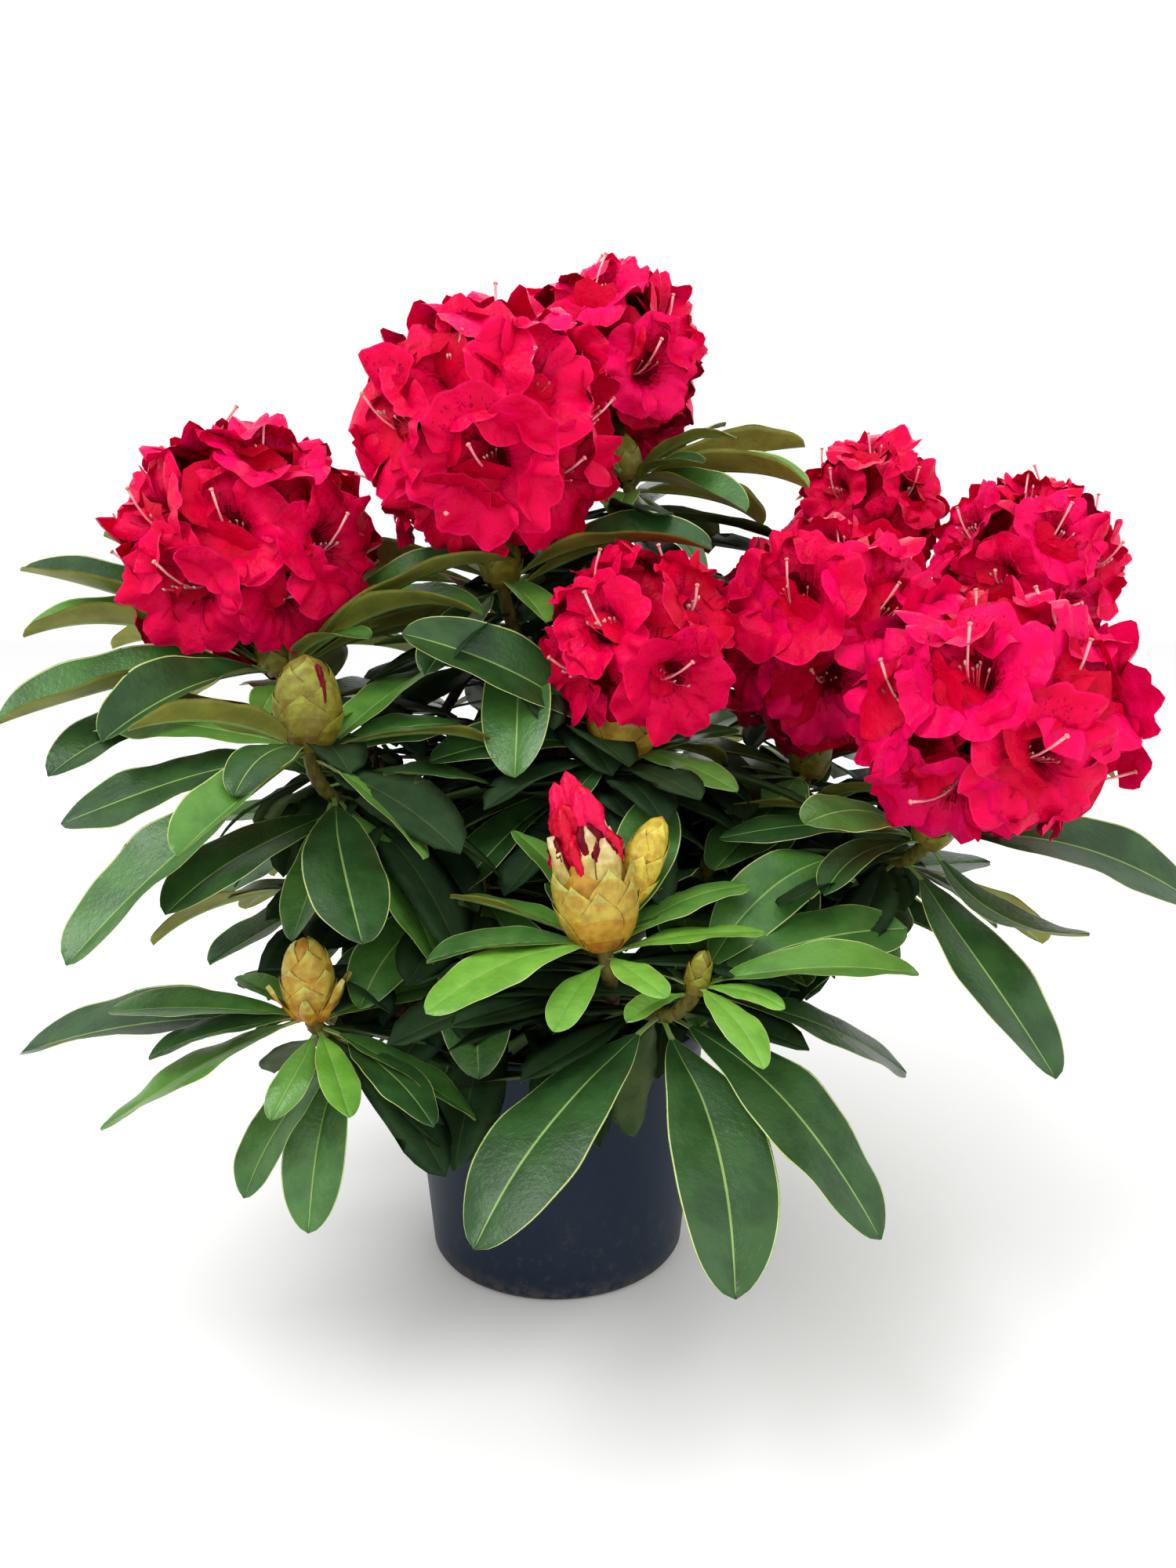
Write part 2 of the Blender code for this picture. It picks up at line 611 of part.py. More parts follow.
def leaf_root(path, tier, index):
    """Where a leaf stands on the stem: its tier's height, less a step for each leaf before."""
    distance = TIER_SPACING * tier + WHORL_STEP * index
    for upper, lower in zip(path[:0:-1], path[-2::-1]):
        step = lower - upper
        if distance <= step.length:
            return upper + step.normalized() * distance
        distance -= step.length
    return path[0]


def grow_leaf(shoot, path, leaf, index, crown, past_flowers=False):
    """Place one leaf, turned a little where needed, or skip it."""
    root = leaf_root(path, leaf.tier, index)
    for turn, lift in NUDGES:
        tried = replace(leaf, azimuth=leaf.azimuth + turn, rise=leaf.rise + lift)
        shape, test = leaf_shape(root, tried), leaf_shape(root, tried, TEST_GROWTH)
        if not (crown.is_clear(shoot.name, *shape) and crown.is_clear(shoot.name, *test)):
            continue
        if not crown.blade_is_clear(shoot.name, *outer_part(*test), past_flowers):
            continue
        crown.add(shoot.name, *shape)
        crown.add_blade(shoot.name, *outer_part(*shape))
        return (LEAF, shape)
    return None


def rule_leaves(shoot, chance):
    """Leaves that fill a whorl at the golden angle between those set by hand."""
    taken = [leaf.azimuth for leaf in shoot.leaves]
    leaves = []
    index = 0
    while len(leaves) < shoot.fill and index < 4 * shoot.fill:
        stray = chance.uniform(-AZIMUTH_SPREAD, AZIMUTH_SPREAD)
        azimuth = (FIRST_AZIMUTH + GOLDEN_ANGLE * index + stray) % 360
        rise = shoot.fill_rise + chance.uniform(-RISE_SPREAD, RISE_SPREAD)
        rise += RISE_STEP * (index % 3)
        length = shoot.fill_length * chance.uniform(*LENGTH_RANGE)
        index += 1
        gaps = [abs((azimuth - other + 180) % 360 - 180) for other in taken]
        if min(gaps, default=360) > LEAST_SPACE:
            tier = 1 if index % 3 == 0 else 0
            leaves.append(Leaf(azimuth, rise - TIER_FALL * tier, length, tier, FILL_DROOP,
                               stations=FILL_STATIONS))
    return leaves


def head_shapes(shoot):
    """Core or bud of a shoot's head, and its side bud."""
    whorl, head = Vector(shoot.whorl), Vector(shoot.head)
    axis = (head - whorl).normalized()
    base = whorl - axis * BUD_SINK
    core = axis * (shoot.size * TRUSS_CORE)
    shapes = []
    if "truss" in shoot.kind:
        ball = bud_shape(head - core, head + core, core.length, CORE_PROFILE, CORE_SIDES)
        shapes.append((PETAL, ball))
    if shoot.kind == "opening_truss":
        scales = bud_shape(base, whorl.lerp(head, TRUSS_SCALES[0]),
                           shoot.size * TRUSS_SCALES[1])
        shapes.append((BUD, scales))
    elif shoot.kind == "opening_bud":
        scales = bud_shape(base, whorl.lerp(head, OPENING_SCALES), shoot.size)
        petals = bud_shape(whorl.lerp(head, OPENING_PETALS[0]), head,
                           shoot.size * OPENING_PETALS[1])
        shapes += [(BUD, scales), (PETAL, petals)]
    elif shoot.kind == "bud":
        shapes.append((BUD, bud_shape(base, head, shoot.size)))
    elif shoot.kind == "leafy":
        shapes.append((BUD, bud_shape(base, head, shoot.size, CORE_PROFILE, TIP_SIDES)))
    if shoot.side_bud:
        top, radius = Vector(shoot.side_bud[:3]), shoot.side_bud[3]
        stalk = bud_shape(base, whorl.lerp(top, SIDE_STEM_END), SIDE_BUD_STEM, CORE_PROFILE,
                          CORE_SIDES)
        shapes += [(STEM, stalk), (BUD, bud_shape(whorl.lerp(top, SIDE_BUD_BASE), top, radius))]
    return shapes


def shape_object(name, finish, shape, collection, materials):
    """An object of a shape, all of its faces in one finish."""
    mesh = bpy.data.meshes.new(name)
    mesh.from_pydata(shape[0], [], shape[1])
    item = link_object(name, mesh, collection, materials)
    for face in mesh.polygons:
        face.material_index = finish
    return item


def boolean(item, operation, target):
    """Apply a Boolean with one cutter or with a collection of pieces."""
    modifier = item.modifiers.new(operation.lower(), "BOOLEAN")
    modifier.operation = operation
    modifier.solver = "MANIFOLD"
    if isinstance(target, bpy.types.Collection):
        modifier.operand_type = "COLLECTION"
        modifier.collection = target
    else:
        modifier.object = target
    bpy.context.view_layer.update()
    evaluated = item.evaluated_get(bpy.context.evaluated_depsgraph_get())
    mesh = bpy.data.meshes.new_from_object(evaluated)
    item.modifiers.clear()
    old = item.data
    item.data = mesh
    bpy.data.meshes.remove(old)


def keep_outer_body(item):
    """Drop loose scraps and the walls of sealed hollows, so that one body stays."""
    shape = bmesh.new()
    shape.from_mesh(item.data)
    shape.verts.ensure_lookup_table()
    unseen = set(shape.verts)
    islands = []
    while unseen:
        front = [unseen.pop()]
        island = set(front)
        while front:
            vert = front.pop()
            for edge in vert.link_edges:
                other = edge.other_vert(vert)
                if other in unseen:
                    unseen.discard(other)
                    island.add(other)
                    front.append(other)
        islands.append(island)
    islands.sort(key=len, reverse=True)
    for island in islands[1:]:
        bmesh.ops.delete(shape, geom=list(island), context="VERTS")
    shape.to_mesh(item.data)
    shape.free()


def fuse(item, pieces, materials):
    """Union a shoot's stem with its leaves and flowers, which are then removed."""
    group = bpy.data.collections.new(item.name + "_pieces")
    bpy.context.scene.collection.children.link(group)
    for index, (finish, shape) in enumerate(pieces):
        shape_object("piece", finish, shape, group, materials)
    boolean(item, "UNION", group)
    for piece in list(group.objects):
        bpy.data.objects.remove(piece, do_unlink=True)
    bpy.data.collections.remove(group)
    keep_outer_body(item)


def make_trunk(collection):
    """The short trunk: a flat level foot, a root flare and a slight lean to its fork."""
    foot = mix_top() + GAP
    lean = Vector((*TRUNK_LEAN, 0.0))
    steps = [(FLARE_HEIGHT * share, TRUNK_FOOT_RADIUS * wide) for share, wide in FLARE_STEPS]
    steps += [(FLARE_HEIGHT, TRUNK_NECK_RADIUS), (WAIST_HEIGHT, TRUNK_RADIUS),
              (TRUNK_HEIGHT, TRUNK_TIP_RADIUS)]
    points, widths = [], []
    for height, width in steps:
        share = height / TRUNK_HEIGHT if height >= FLARE_HEIGHT else 0.0
        points.append(lean * share + Vector((0, 0, foot + height)))
        widths.append(width)
    bark = [make_material("trunk_bark", (0.14, 0.10, 0.07, 1.0), 0.85)]
    trunk = tube("trunk", points, widths, TRUNK_SIDES_RESOLUTION, collection, bark)
    cutter = tube("trunk_cutter", lengthened(points, GAP), widths, TRUNK_SIDES_RESOLUTION,
                  collection, bark, CUTTER_GROWTH)
    return trunk, cutter


def lengthened(points, extra):
    """The points of a path with its last end moved on a little."""
    step = (points[-1] - points[-2]).normalized() * extra
    return points[:-1] + [points[-1] + step]


def make_boughs(collection, trunk_cutter, crown):
    """The boughs, each cut clear of the trunk, and their grown cutters."""
    paths, cutters = {}, {}
    for bough in BOUGHS:
        path = bough_path(bough)
        count = len(path) - 1
        radii = [bough.radius + (bough.tip_radius - bough.radius) * i / count
                 for i in range(count + 1)]
        bark = [make_material(bough.name + "_bark", (0.15, 0.11, 0.07, 1.0), 0.8)]
        item = tube(bough.name, path, radii, LIMB_SIDES_RESOLUTION, collection, bark)
        boolean(item, "DIFFERENCE", trunk_cutter)
        keep_outer_body(item)
        crown.add_mesh(bough.name, item.data)
        paths[bough.name] = path
        cutters[bough.name] = tube(bough.name + "_cutter", lengthened(path, GAP), radii,
                                   LIMB_SIDES_RESOLUTION, collection, bark, CUTTER_GROWTH)
    return paths, cutters


def make_shoots(collection, paths, cutters, crown):
    """Grow all shoots: stems and flowers first, leaves set by hand next, then the rest."""
    materials = [make_material(*finish) for finish in FINISHES]
    items, pieces, stems = {}, {}, {}
    for shoot in SHOOTS:
        path = stem_path(shoot, paths)
        stems[shoot.name] = path
        head = Vector(shoot.head)
        past = (head - path[-1]).normalized() * STEM_PAST_WHORL
        points = path + [head if "truss" in shoot.kind else path[-1] + past]
        count = len(points) - 1
        radii = [STEM_RADIUS + (STEM_TIP_RADIUS - STEM_RADIUS) * i / count
                 for i in range(count + 1)]
        item = tube(shoot.name, points, radii, STEM_SIDES_RESOLUTION, collection, materials)
        boolean(item, "DIFFERENCE", cutters[shoot.bough])
        keep_outer_body(item)
        crown.add_mesh(shoot.name, item.data)
        items[shoot.name] = item
    for shoot in SHOOTS:
        pieces[shoot.name] = head_shapes(shoot)
        for _, shape in pieces[shoot.name]:
            crown.add(shoot.name, *shape)
            crown.add_flower(shoot.name, *shape)
    for shoot in SHOOTS:
        pieces[shoot.name] += grow_truss(shoot, crown)
    for shoot in SHOOTS:
        for index, leaf in enumerate(shoot.leaves):
            grown = grow_leaf(shoot, stems[shoot.name], leaf, index, crown, True)
            if grown:
                pieces[shoot.name].append(grown)
    for number, shoot in enumerate(SHOOTS):
        chance = random.Random(SEED + number)
        for index, leaf in enumerate(rule_leaves(shoot, chance)):
            grown = grow_leaf(shoot, stems[shoot.name], leaf, index, crown)
            if grown:
                pieces[shoot.name].append(grown)
    for shoot in SHOOTS:
        fuse(items[shoot.name], pieces[shoot.name], materials)


def main():
    """Build the potted shrub."""
    clear_scene()
    collection = bpy.data.collections.new("potted_rhododendron")
    bpy.context.scene.collection.children.link(collection)
    crown = Crown()
    pot = make_pot(collection)
    mix = make_potting_mix(collection)
    bpy.context.view_layer.update()
    graph = bpy.context.evaluated_depsgraph_get()
    for item in (pot, mix):
        crown.add_mesh(item.name, item.evaluated_get(graph).data)
    trunk, trunk_cutter = make_trunk(collection)
    crown.add_mesh("trunk", trunk.data)
    paths, cutters = make_boughs(collection, trunk_cutter, crown)
    make_shoots(collection, paths, cutters, crown)
    for cutter in [trunk_cutter, *cutters.values()]:
        bpy.data.objects.remove(cutter, do_unlink=True)


main()
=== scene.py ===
"""Looks of a potted large-leaved rhododendron in flower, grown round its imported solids.

Every shoot of the frame is replaced by finer twigs, leaves and flowers that follow the same
growing rule and keep to the same reach. Metres, +Z up, azimuths from +X towards +Y.
"""

import json
import logging
import math
import random
from collections.abc import Iterable, Sequence
from dataclasses import dataclass, field, replace
from enum import Enum

import bpy
import numpy as np
from mathutils import Matrix, Vector
from mathutils.bvhtree import BVHTree

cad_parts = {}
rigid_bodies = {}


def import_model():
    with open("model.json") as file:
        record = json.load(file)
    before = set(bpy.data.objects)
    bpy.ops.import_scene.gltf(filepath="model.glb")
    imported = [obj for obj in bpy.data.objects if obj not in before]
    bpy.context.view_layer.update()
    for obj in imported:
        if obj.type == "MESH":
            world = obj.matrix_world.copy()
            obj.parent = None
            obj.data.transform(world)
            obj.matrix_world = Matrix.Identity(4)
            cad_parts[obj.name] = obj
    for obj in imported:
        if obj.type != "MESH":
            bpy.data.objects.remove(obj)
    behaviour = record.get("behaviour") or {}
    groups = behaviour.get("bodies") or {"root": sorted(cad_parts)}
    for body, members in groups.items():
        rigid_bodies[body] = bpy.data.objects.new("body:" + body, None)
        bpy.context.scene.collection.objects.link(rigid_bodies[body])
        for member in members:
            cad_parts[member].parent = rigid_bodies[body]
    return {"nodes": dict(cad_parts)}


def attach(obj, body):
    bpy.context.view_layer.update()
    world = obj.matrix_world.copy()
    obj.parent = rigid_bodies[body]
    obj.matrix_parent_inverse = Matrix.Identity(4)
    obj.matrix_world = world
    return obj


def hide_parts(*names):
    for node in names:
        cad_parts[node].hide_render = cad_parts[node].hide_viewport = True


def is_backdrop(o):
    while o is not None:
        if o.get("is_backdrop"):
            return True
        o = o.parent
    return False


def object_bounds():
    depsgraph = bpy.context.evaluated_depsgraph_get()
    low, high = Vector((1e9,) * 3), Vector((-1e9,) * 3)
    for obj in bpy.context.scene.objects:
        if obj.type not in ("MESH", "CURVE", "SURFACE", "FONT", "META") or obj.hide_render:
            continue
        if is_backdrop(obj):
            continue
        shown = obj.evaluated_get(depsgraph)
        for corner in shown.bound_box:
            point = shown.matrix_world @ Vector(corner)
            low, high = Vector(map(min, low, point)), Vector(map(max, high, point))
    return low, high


LOG = logging.getLogger("rhododendron")
ROOT = "root"
Colour = tuple[float, float, float]
Triple = tuple[float, float, float]

# --- the growing rule, as in the solids --------------------------------------------------
POT_HEIGHT = 0.165
MIX_DEPTH_BELOW_RIM = 0.014
MIX_TOP = POT_HEIGHT - MIX_DEPTH_BELOW_RIM
GAP = 0.0003
GOLDEN_ANGLE = 137.5
SEED = 21
FIRST_AZIMUTH = 40.0
AZIMUTH_SPREAD = 8.0
LEAST_SPACE = 16.0
RISE_SPREAD = 12.0
RISE_STEP = 6.0
TIER_FALL = 10.0
FILL_DROOP = 34.0
LENGTH_RANGE = (0.85, 1.12)
TRUNK_HEIGHT = 0.072
TRUNK_FOOT_RADIUS = 0.019
TRUNK_NECK_RADIUS = 0.0135
TRUNK_RADIUS = 0.0125
TRUNK_TIP_RADIUS = 0.0105
TRUNK_LEAN = (0.004, -0.003)
FLARE_HEIGHT = 0.012
WAIST_HEIGHT = 0.036
STEM_RADIUS = 0.0038
STEM_TIP_RADIUS = 0.0042
LIMB_SEGMENTS = 5
STEM_SEGMENTS = 4
STEM_HANDLE = 0.33
LEAF_HALF_WIDTH = 0.165
LEAF_THICKNESS = 0.0020
PETIOLE_HALF_WIDTH = 0.0022
PETIOLE_END = 0.12
LEAF_STATIONS = ((0.42, 0.92), (0.76, 0.90))
FILL_STATIONS = ((0.58, 1.0),)
WHORL_STEP = 0.0013
TIER_SPACING = 0.026
NUDGES = ((0, 0), (0, 7), (0, -7), (8, 0), (-8, 0), (8, 7), (-8, 7), (8, -7), (-8, -7),
          (0, 14), (0, -14), (15, 0), (-15, 0), (15, 10), (-15, 10), (15, -10), (-15, -10))
LOWEST_FLORET = -0.78
FIRST_FLORET = 0.35
BUD_SINK = 0.007

# --- what grows on beyond the solids -----------------------------------------------------
POT_RADIUS = 0.103
HIGH_WHORL = 0.355
INNER_REACH = 0.245
OLD_WHORLS = (0.24, 0.42, 0.60, 0.78)
OLD_LEAVES = 5
OLD_LEAF_STEP = 0.018
OLD_LEAF_ROWS = 13
OLD_RISES = (-38.0, 4.0)
OLD_LENGTHS = (0.085, 0.125)
OLD_DROOPS = (20.0, 44.0)
CROWN_CENTRE = (0.02, 0.03)
ROOT_CLEARANCE = 0.02
RIM_CLEARANCE = 0.008
LOWEST_TIP = 0.10
LONG_LEAF = 0.10
FADE_STEPS = 4
TWIG_PLACES = (0.42, 0.58, 0.74, 0.90)
TWIG_LENGTHS = (0.040, 0.070)
TWIG_SEGMENTS = 8
ROSE_TRUSSES = ("shoot_top_truss", "shoot_right_front_truss", "shoot_right_truss",
                "shoot_far_right_truss")
SHOOT_BACK_FROM = 0.095
TWIG_BACK_FROM = 0.06
TWIG_WHORL = (0.86,)


class Kind(Enum):
    """What ends a shoot."""

    TRUSS = "truss"
    OPENING_TRUSS = "opening truss"
    BUD = "bud"
    OPENING_BUD = "opening bud"
    LEAFY = "leafy"


@dataclass(frozen=True)
class Limb:
    """A tapering bough: where it leaves the trunk, the points it passes and its radii."""

    name: str
    height: float
    via: Triple
    tip: Triple
    radius: float = 0.0060
    tip_radius: float = 0.0046


@dataclass(frozen=True)
class Leaf:
    """A leaf of the rule: azimuth and rise of its chord in degrees, and its length."""

    azimuth: float
    rise: float
    length: float
    tier: int = 0
    droop: float = 28.0
    roll: float = 0.0
    stations: tuple = LEAF_STATIONS


@dataclass(frozen=True)
class Shoot:
    """One branchlet: its bough, whorl, flower head and leaves."""

    name: str
    bough: str
    along: float
    whorl: Triple
    head: Triple
    kind: Kind
    size: float
    florets: int = 0
    fill: int = 0
    fill_rise: float = 0.0
    fill_length: float = 0.13
    leaves: tuple[Leaf, ...] = ()
    side_bud: tuple[float, ...] = ()

    def at(self, share: float) -> Vector:
        """The place at a share of the way from the whorl to the head."""
        return Vector(self.whorl).lerp(Vector(self.head), share)

    def axis(self) -> Vector:
        """The way from the whorl to the head."""
        return (Vector(self.head) - Vector(self.whorl)).normalized()


BOUGHS = (
    Limb("bough_left", 0.054, (-0.060, -0.018, 0.262), (-0.118, -0.050, 0.312)),
    Limb("bough_low_left", 0.026, (-0.052, -0.062, 0.200), (-0.106, -0.128, 0.196)),
    Limb("bough_front", 0.040, (0.016, -0.070, 0.206), (0.034, -0.142, 0.218)),
    Limb("bough_right", 0.056, (0.068, 0.004, 0.246), (0.140, 0.002, 0.276)),
    Limb("bough_back_right", 0.030, (0.058, 0.058, 0.226), (0.116, 0.118, 0.290)),
    Limb("bough_back", 0.046, (0.012, 0.050, 0.262), (0.030, 0.078, 0.400)),
    Limb("bough_back_left", 0.024, (-0.052, 0.056, 0.222), (-0.098, 0.116, 0.310)),
    Limb("bough_centre", 0.072, (0.004, -0.006, 0.280), (0.008, -0.016, 0.322)),
)

SHOOTS = (
    Shoot("shoot_left_truss", "bough_left", 1.0, (-0.172, -0.015, 0.392),
          (-0.190, -0.011, 0.466), Kind.TRUSS, 0.084, 12, 7, 4, 0.14,
          (Leaf(210, -10, 0.165, 0, 34, -22), Leaf(240, -12, 0.140, 0, 40, -15),
           Leaf(215, -8, 0.152, 1, 34, -15), Leaf(196, 13, 0.155, 0, 40, -20),
           Leaf(182, 15, 0.172, 0, 34, -8), Leaf(322, 20, 0.090, 0, 60),
           Leaf(344, 13, 0.150, 0, 60), Leaf(358, 30, 0.170, 0, 40, 10),
           Leaf(272, -9, 0.070, 0, 40), Leaf(167, 32, 0.155, 0, 20))),
    Shoot("shoot_left_bud", "bough_left", 0.80, (-0.131, -0.118, 0.358),
          (-0.133, -0.112, 0.408), Kind.BUD, 0.018, 0, 4, -8, 0.11,
          (Leaf(218, -35, 0.165, 0, 10), Leaf(251, -16, 0.122), Leaf(255, -5, 0.085, 0, 60),
           Leaf(165, -2, 0.140, 0, 28, -20), Leaf(187, -16, 0.140, 0, 28, -20),
           Leaf(226, 14, 0.110, 0, 50, 30), Leaf(310, -16, 0.120, 0, 34, -18),
           Leaf(40, 8, 0.100, 0, 30, 22), Leaf(65, 20, 0.120), Leaf(288, -24, 0.130, 1),
           Leaf(236, -11, 0.140, 2), Leaf(256, -50, 0.090, 1), Leaf(320, -44, 0.120, 1))),
    Shoot("shoot_low_left_bud", "bough_low_left", 1.0, (-0.126, -0.160, 0.220),
          (-0.128, -0.163, 0.264), Kind.BUD, 0.015, 0, 3, -6, 0.10,
          (Leaf(212, -20, 0.115), Leaf(204, -4, 0.085), Leaf(190, 6, 0.105),
           Leaf(176, -8, 0.168, 0, 30, -12), Leaf(150, 15, 0.060), Leaf(30, 6, 0.085, 0, 28, 15),
           Leaf(350, -28, 0.100), Leaf(297, -25, 0.065), Leaf(255, -26, 0.060),
           Leaf(228, -42, 0.100, 1), Leaf(258, -54, 0.105, 1))),
    Shoot("shoot_front_bud", "bough_front", 1.0, (0.029, -0.176, 0.264),
          (0.015, -0.163, 0.350), Kind.OPENING_BUD, 0.022, 0, 3, 0, 0.09,
          (Leaf(215, -8, 0.105, 0, 40), Leaf(160, 12, 0.090), Leaf(132, 34, 0.090),
           Leaf(23, 19, 0.090), Leaf(5, 6, 0.085), Leaf(298, -2, 0.060),
           Leaf(68, 40, 0.110), Leaf(243, -18, 0.060)), (0.060, -0.150, 0.326, 0.0105)),
    Shoot("shoot_front_low", "bough_front", 0.66, (0.076, -0.182, 0.245),
          (0.080, -0.184, 0.264), Kind.LEAFY, 0.006, 0, 3, 0, 0.10,
          (Leaf(294, -13, 0.070), Leaf(330, 0, 0.050), Leaf(355, 6, 0.115, 0, 34, 12),
           Leaf(40, 36, 0.120, 0, 20, 30), Leaf(18, 16, 0.130, 0, 34, 15),
           Leaf(14, -24, 0.140), Leaf(228, -1, 0.050), Leaf(228, -26, 0.158, 1, 20),
           Leaf(282, -31, 0.155, 1, 20), Leaf(316, -30, 0.160, 1, 54, 10),
           Leaf(110, -68, 0.095, 1))),
    Shoot("shoot_centre_truss", "bough_centre", 0.86, (0.040, -0.062, 0.349),
          (0.050, -0.070, 0.410), Kind.OPENING_TRUSS, 0.062, 8, 5, -5, 0.11,
          (Leaf(190, 28, 0.146, 0, 36, -50), Leaf(192, -2, 0.115, 0, 40, -25),
           Leaf(322, -11, 0.085, 0, 34, 10), Leaf(196, -24, 0.140, 1),
           Leaf(153, 25, 0.130), Leaf(240, -24, 0.070), Leaf(215, -40, 0.120, 1),
           Leaf(282, -48, 0.110, 1), Leaf(350, -40, 0.120, 1))),
    Shoot("shoot_centre_top", "bough_centre", 1.0, (-0.033, -0.003, 0.447),
          (-0.040, -0.021, 0.533), Kind.TRUSS, 0.085, 12, 8, 0, 0.14,
          (Leaf(291, -14, 0.090), Leaf(158, 4, 0.140), Leaf(333, 2, 0.140, 0, 50, 10),
           Leaf(250, -24, 0.100), Leaf(310, -34, 0.120, 1), Leaf(265, -42, 0.130, 1))),
    Shoot("shoot_top_truss", "bough_back", 1.0, (0.048, 0.070, 0.515),
          (0.034, 0.086, 0.588), Kind.TRUSS, 0.074, 10, 5, 5, 0.13,
          (Leaf(14, 9, 0.132, 0, 24, -10), Leaf(332, -2, 0.130, 0, 26),
           Leaf(312, -14, 0.110, 0, 40, 10), Leaf(326, 20, 0.090, 0, 50),
           Leaf(32, 31, 0.096), Leaf(306, 8, 0.080, 0, 50, 20), Leaf(305, -34, 0.100),
           Leaf(30, -8, 0.120), Leaf(255, -40, 0.120, 1), Leaf(340, -36, 0.130, 1),
           Leaf(262, -14, 0.075, 0, 50), Leaf(288, -14, 0.100, 1, 40))),
    Shoot("shoot_right_truss", "bough_right", 0.78, (0.166, 0.010, 0.322),
          (0.176, 0.020, 0.408), Kind.TRUSS, 0.088, 12, 6, 0, 0.13,
          (Leaf(222, -27, 0.140), Leaf(248, -18, 0.120), Leaf(262, -38, 0.120, 1),
           Leaf(200, -4, 0.120), Leaf(238, -46, 0.130, 1))),
    Shoot("shoot_right_front_truss", "bough_right", 1.0, (0.214, -0.104, 0.304),
          (0.234, -0.135, 0.376), Kind.TRUSS, 0.079, 11, 4, 0, 0.13,
          (Leaf(292, -32, 0.155, 1, 20), Leaf(306, -17, 0.112, 0, -64),
           Leaf(352, -13, 0.158, 0, 54, 24), Leaf(218, -9, 0.090, 0, 40),
           Leaf(228, -38, 0.130, 1), Leaf(20, -30, 0.130, 1), Leaf(325, -24, 0.070, 1),
           Leaf(220, 14, 0.110, 0, 60, -25))),
    Shoot("shoot_right_back_truss", "bough_back_right", 1.0, (0.232, 0.196, 0.424),
          (0.245, 0.202, 0.500), Kind.TRUSS, 0.063, 8, 8, -10, 0.13),
    Shoot("shoot_far_right_truss", "bough_right", 0.58, (0.318, 0.108, 0.382),
          (0.335, 0.104, 0.457), Kind.TRUSS, 0.070, 10, 8, -16, 0.12),
    Shoot("shoot_back_left_truss", "bough_back_left", 0.78, (-0.222, 0.176, 0.388),
          (-0.240, 0.190, 0.458), Kind.TRUSS, 0.064, 8, 9, -6, 0.13),
    Shoot("shoot_back_top_truss", "bough_back_left", 1.0, (-0.050, 0.176, 0.440),
          (-0.056, 0.190, 0.516), Kind.TRUSS, 0.068, 8, 9, -16, 0.13),
    Shoot("shoot_back_right_truss", "bough_back_right", 0.76, (0.170, 0.232, 0.338),
          (0.186, 0.252, 0.410), Kind.TRUSS, 0.066, 8, 9, -14, 0.13),
    Shoot("shoot_back_bud", "bough_back", 0.62, (0.052, 0.232, 0.350),
          (0.054, 0.242, 0.398), Kind.BUD, 0.018, 0, 10, -14, 0.14),
    Shoot("shoot_low_back_left", "bough_back_left", 0.52, (-0.150, 0.120, 0.262),
          (-0.154, 0.124, 0.304), Kind.BUD, 0.014, 0, 9, -12, 0.13),
    Shoot("shoot_low_back_right", "bough_back_right", 0.50, (0.176, 0.128, 0.236),
          (0.180, 0.132, 0.256), Kind.LEAFY, 0.006, 0, 9, -12, 0.13),
    Shoot("shoot_low_right", "bough_right", 0.46, (0.190, 0.040, 0.250),
          (0.194, 0.041, 0.268), Kind.LEAFY, 0.006, 0, 8, -2, 0.13),
    Shoot("shoot_low_back", "bough_back", 0.5, (0.000, 0.142, 0.246),
          (0.000, 0.146, 0.264), Kind.LEAFY, 0.006, 0, 9, -16, 0.14),
    Shoot("shoot_low_left", "bough_left", 0.46, (-0.142, 0.028, 0.240),
          (-0.146, 0.030, 0.258), Kind.LEAFY, 0.006, 0, 9, -14, 0.14),
    Shoot("shoot_inner_left", "bough_low_left", 0.55, (-0.046, -0.062, 0.264),
          (-0.048, -0.066, 0.284), Kind.LEAFY, 0.006, 0, 6, -14, 0.12,
          (Leaf(205, -30, 0.130), Leaf(240, -24, 0.120), Leaf(275, -34, 0.130),
           Leaf(300, -20, 0.110), Leaf(225, -50, 0.130, 1), Leaf(262, -58, 0.110, 1))),
    Shoot("shoot_inner_right", "bough_right", 0.36, (0.096, -0.046, 0.266),
          (0.098, -0.050, 0.286), Kind.LEAFY, 0.006, 0, 6, -12, 0.12,
          (Leaf(345, -14, 0.110), Leaf(300, -24, 0.120), Leaf(8, -20, 0.120),
           Leaf(262, -34, 0.110))),
)
def along_path(path: Sequence[Vector], share: float) -> tuple[Vector, Vector]:
    """A place on a path, with the step that it lies on.

    Args:
        path: Points.
        share: How far along, from 0 to 1.

    Returns:
        The place and the step.
    """
    place = share * (len(path) - 1)
    low = min(int(place), len(path) - 2)
    step = path[low + 1] - path[low]
    return path[low] + step * (place - low), step


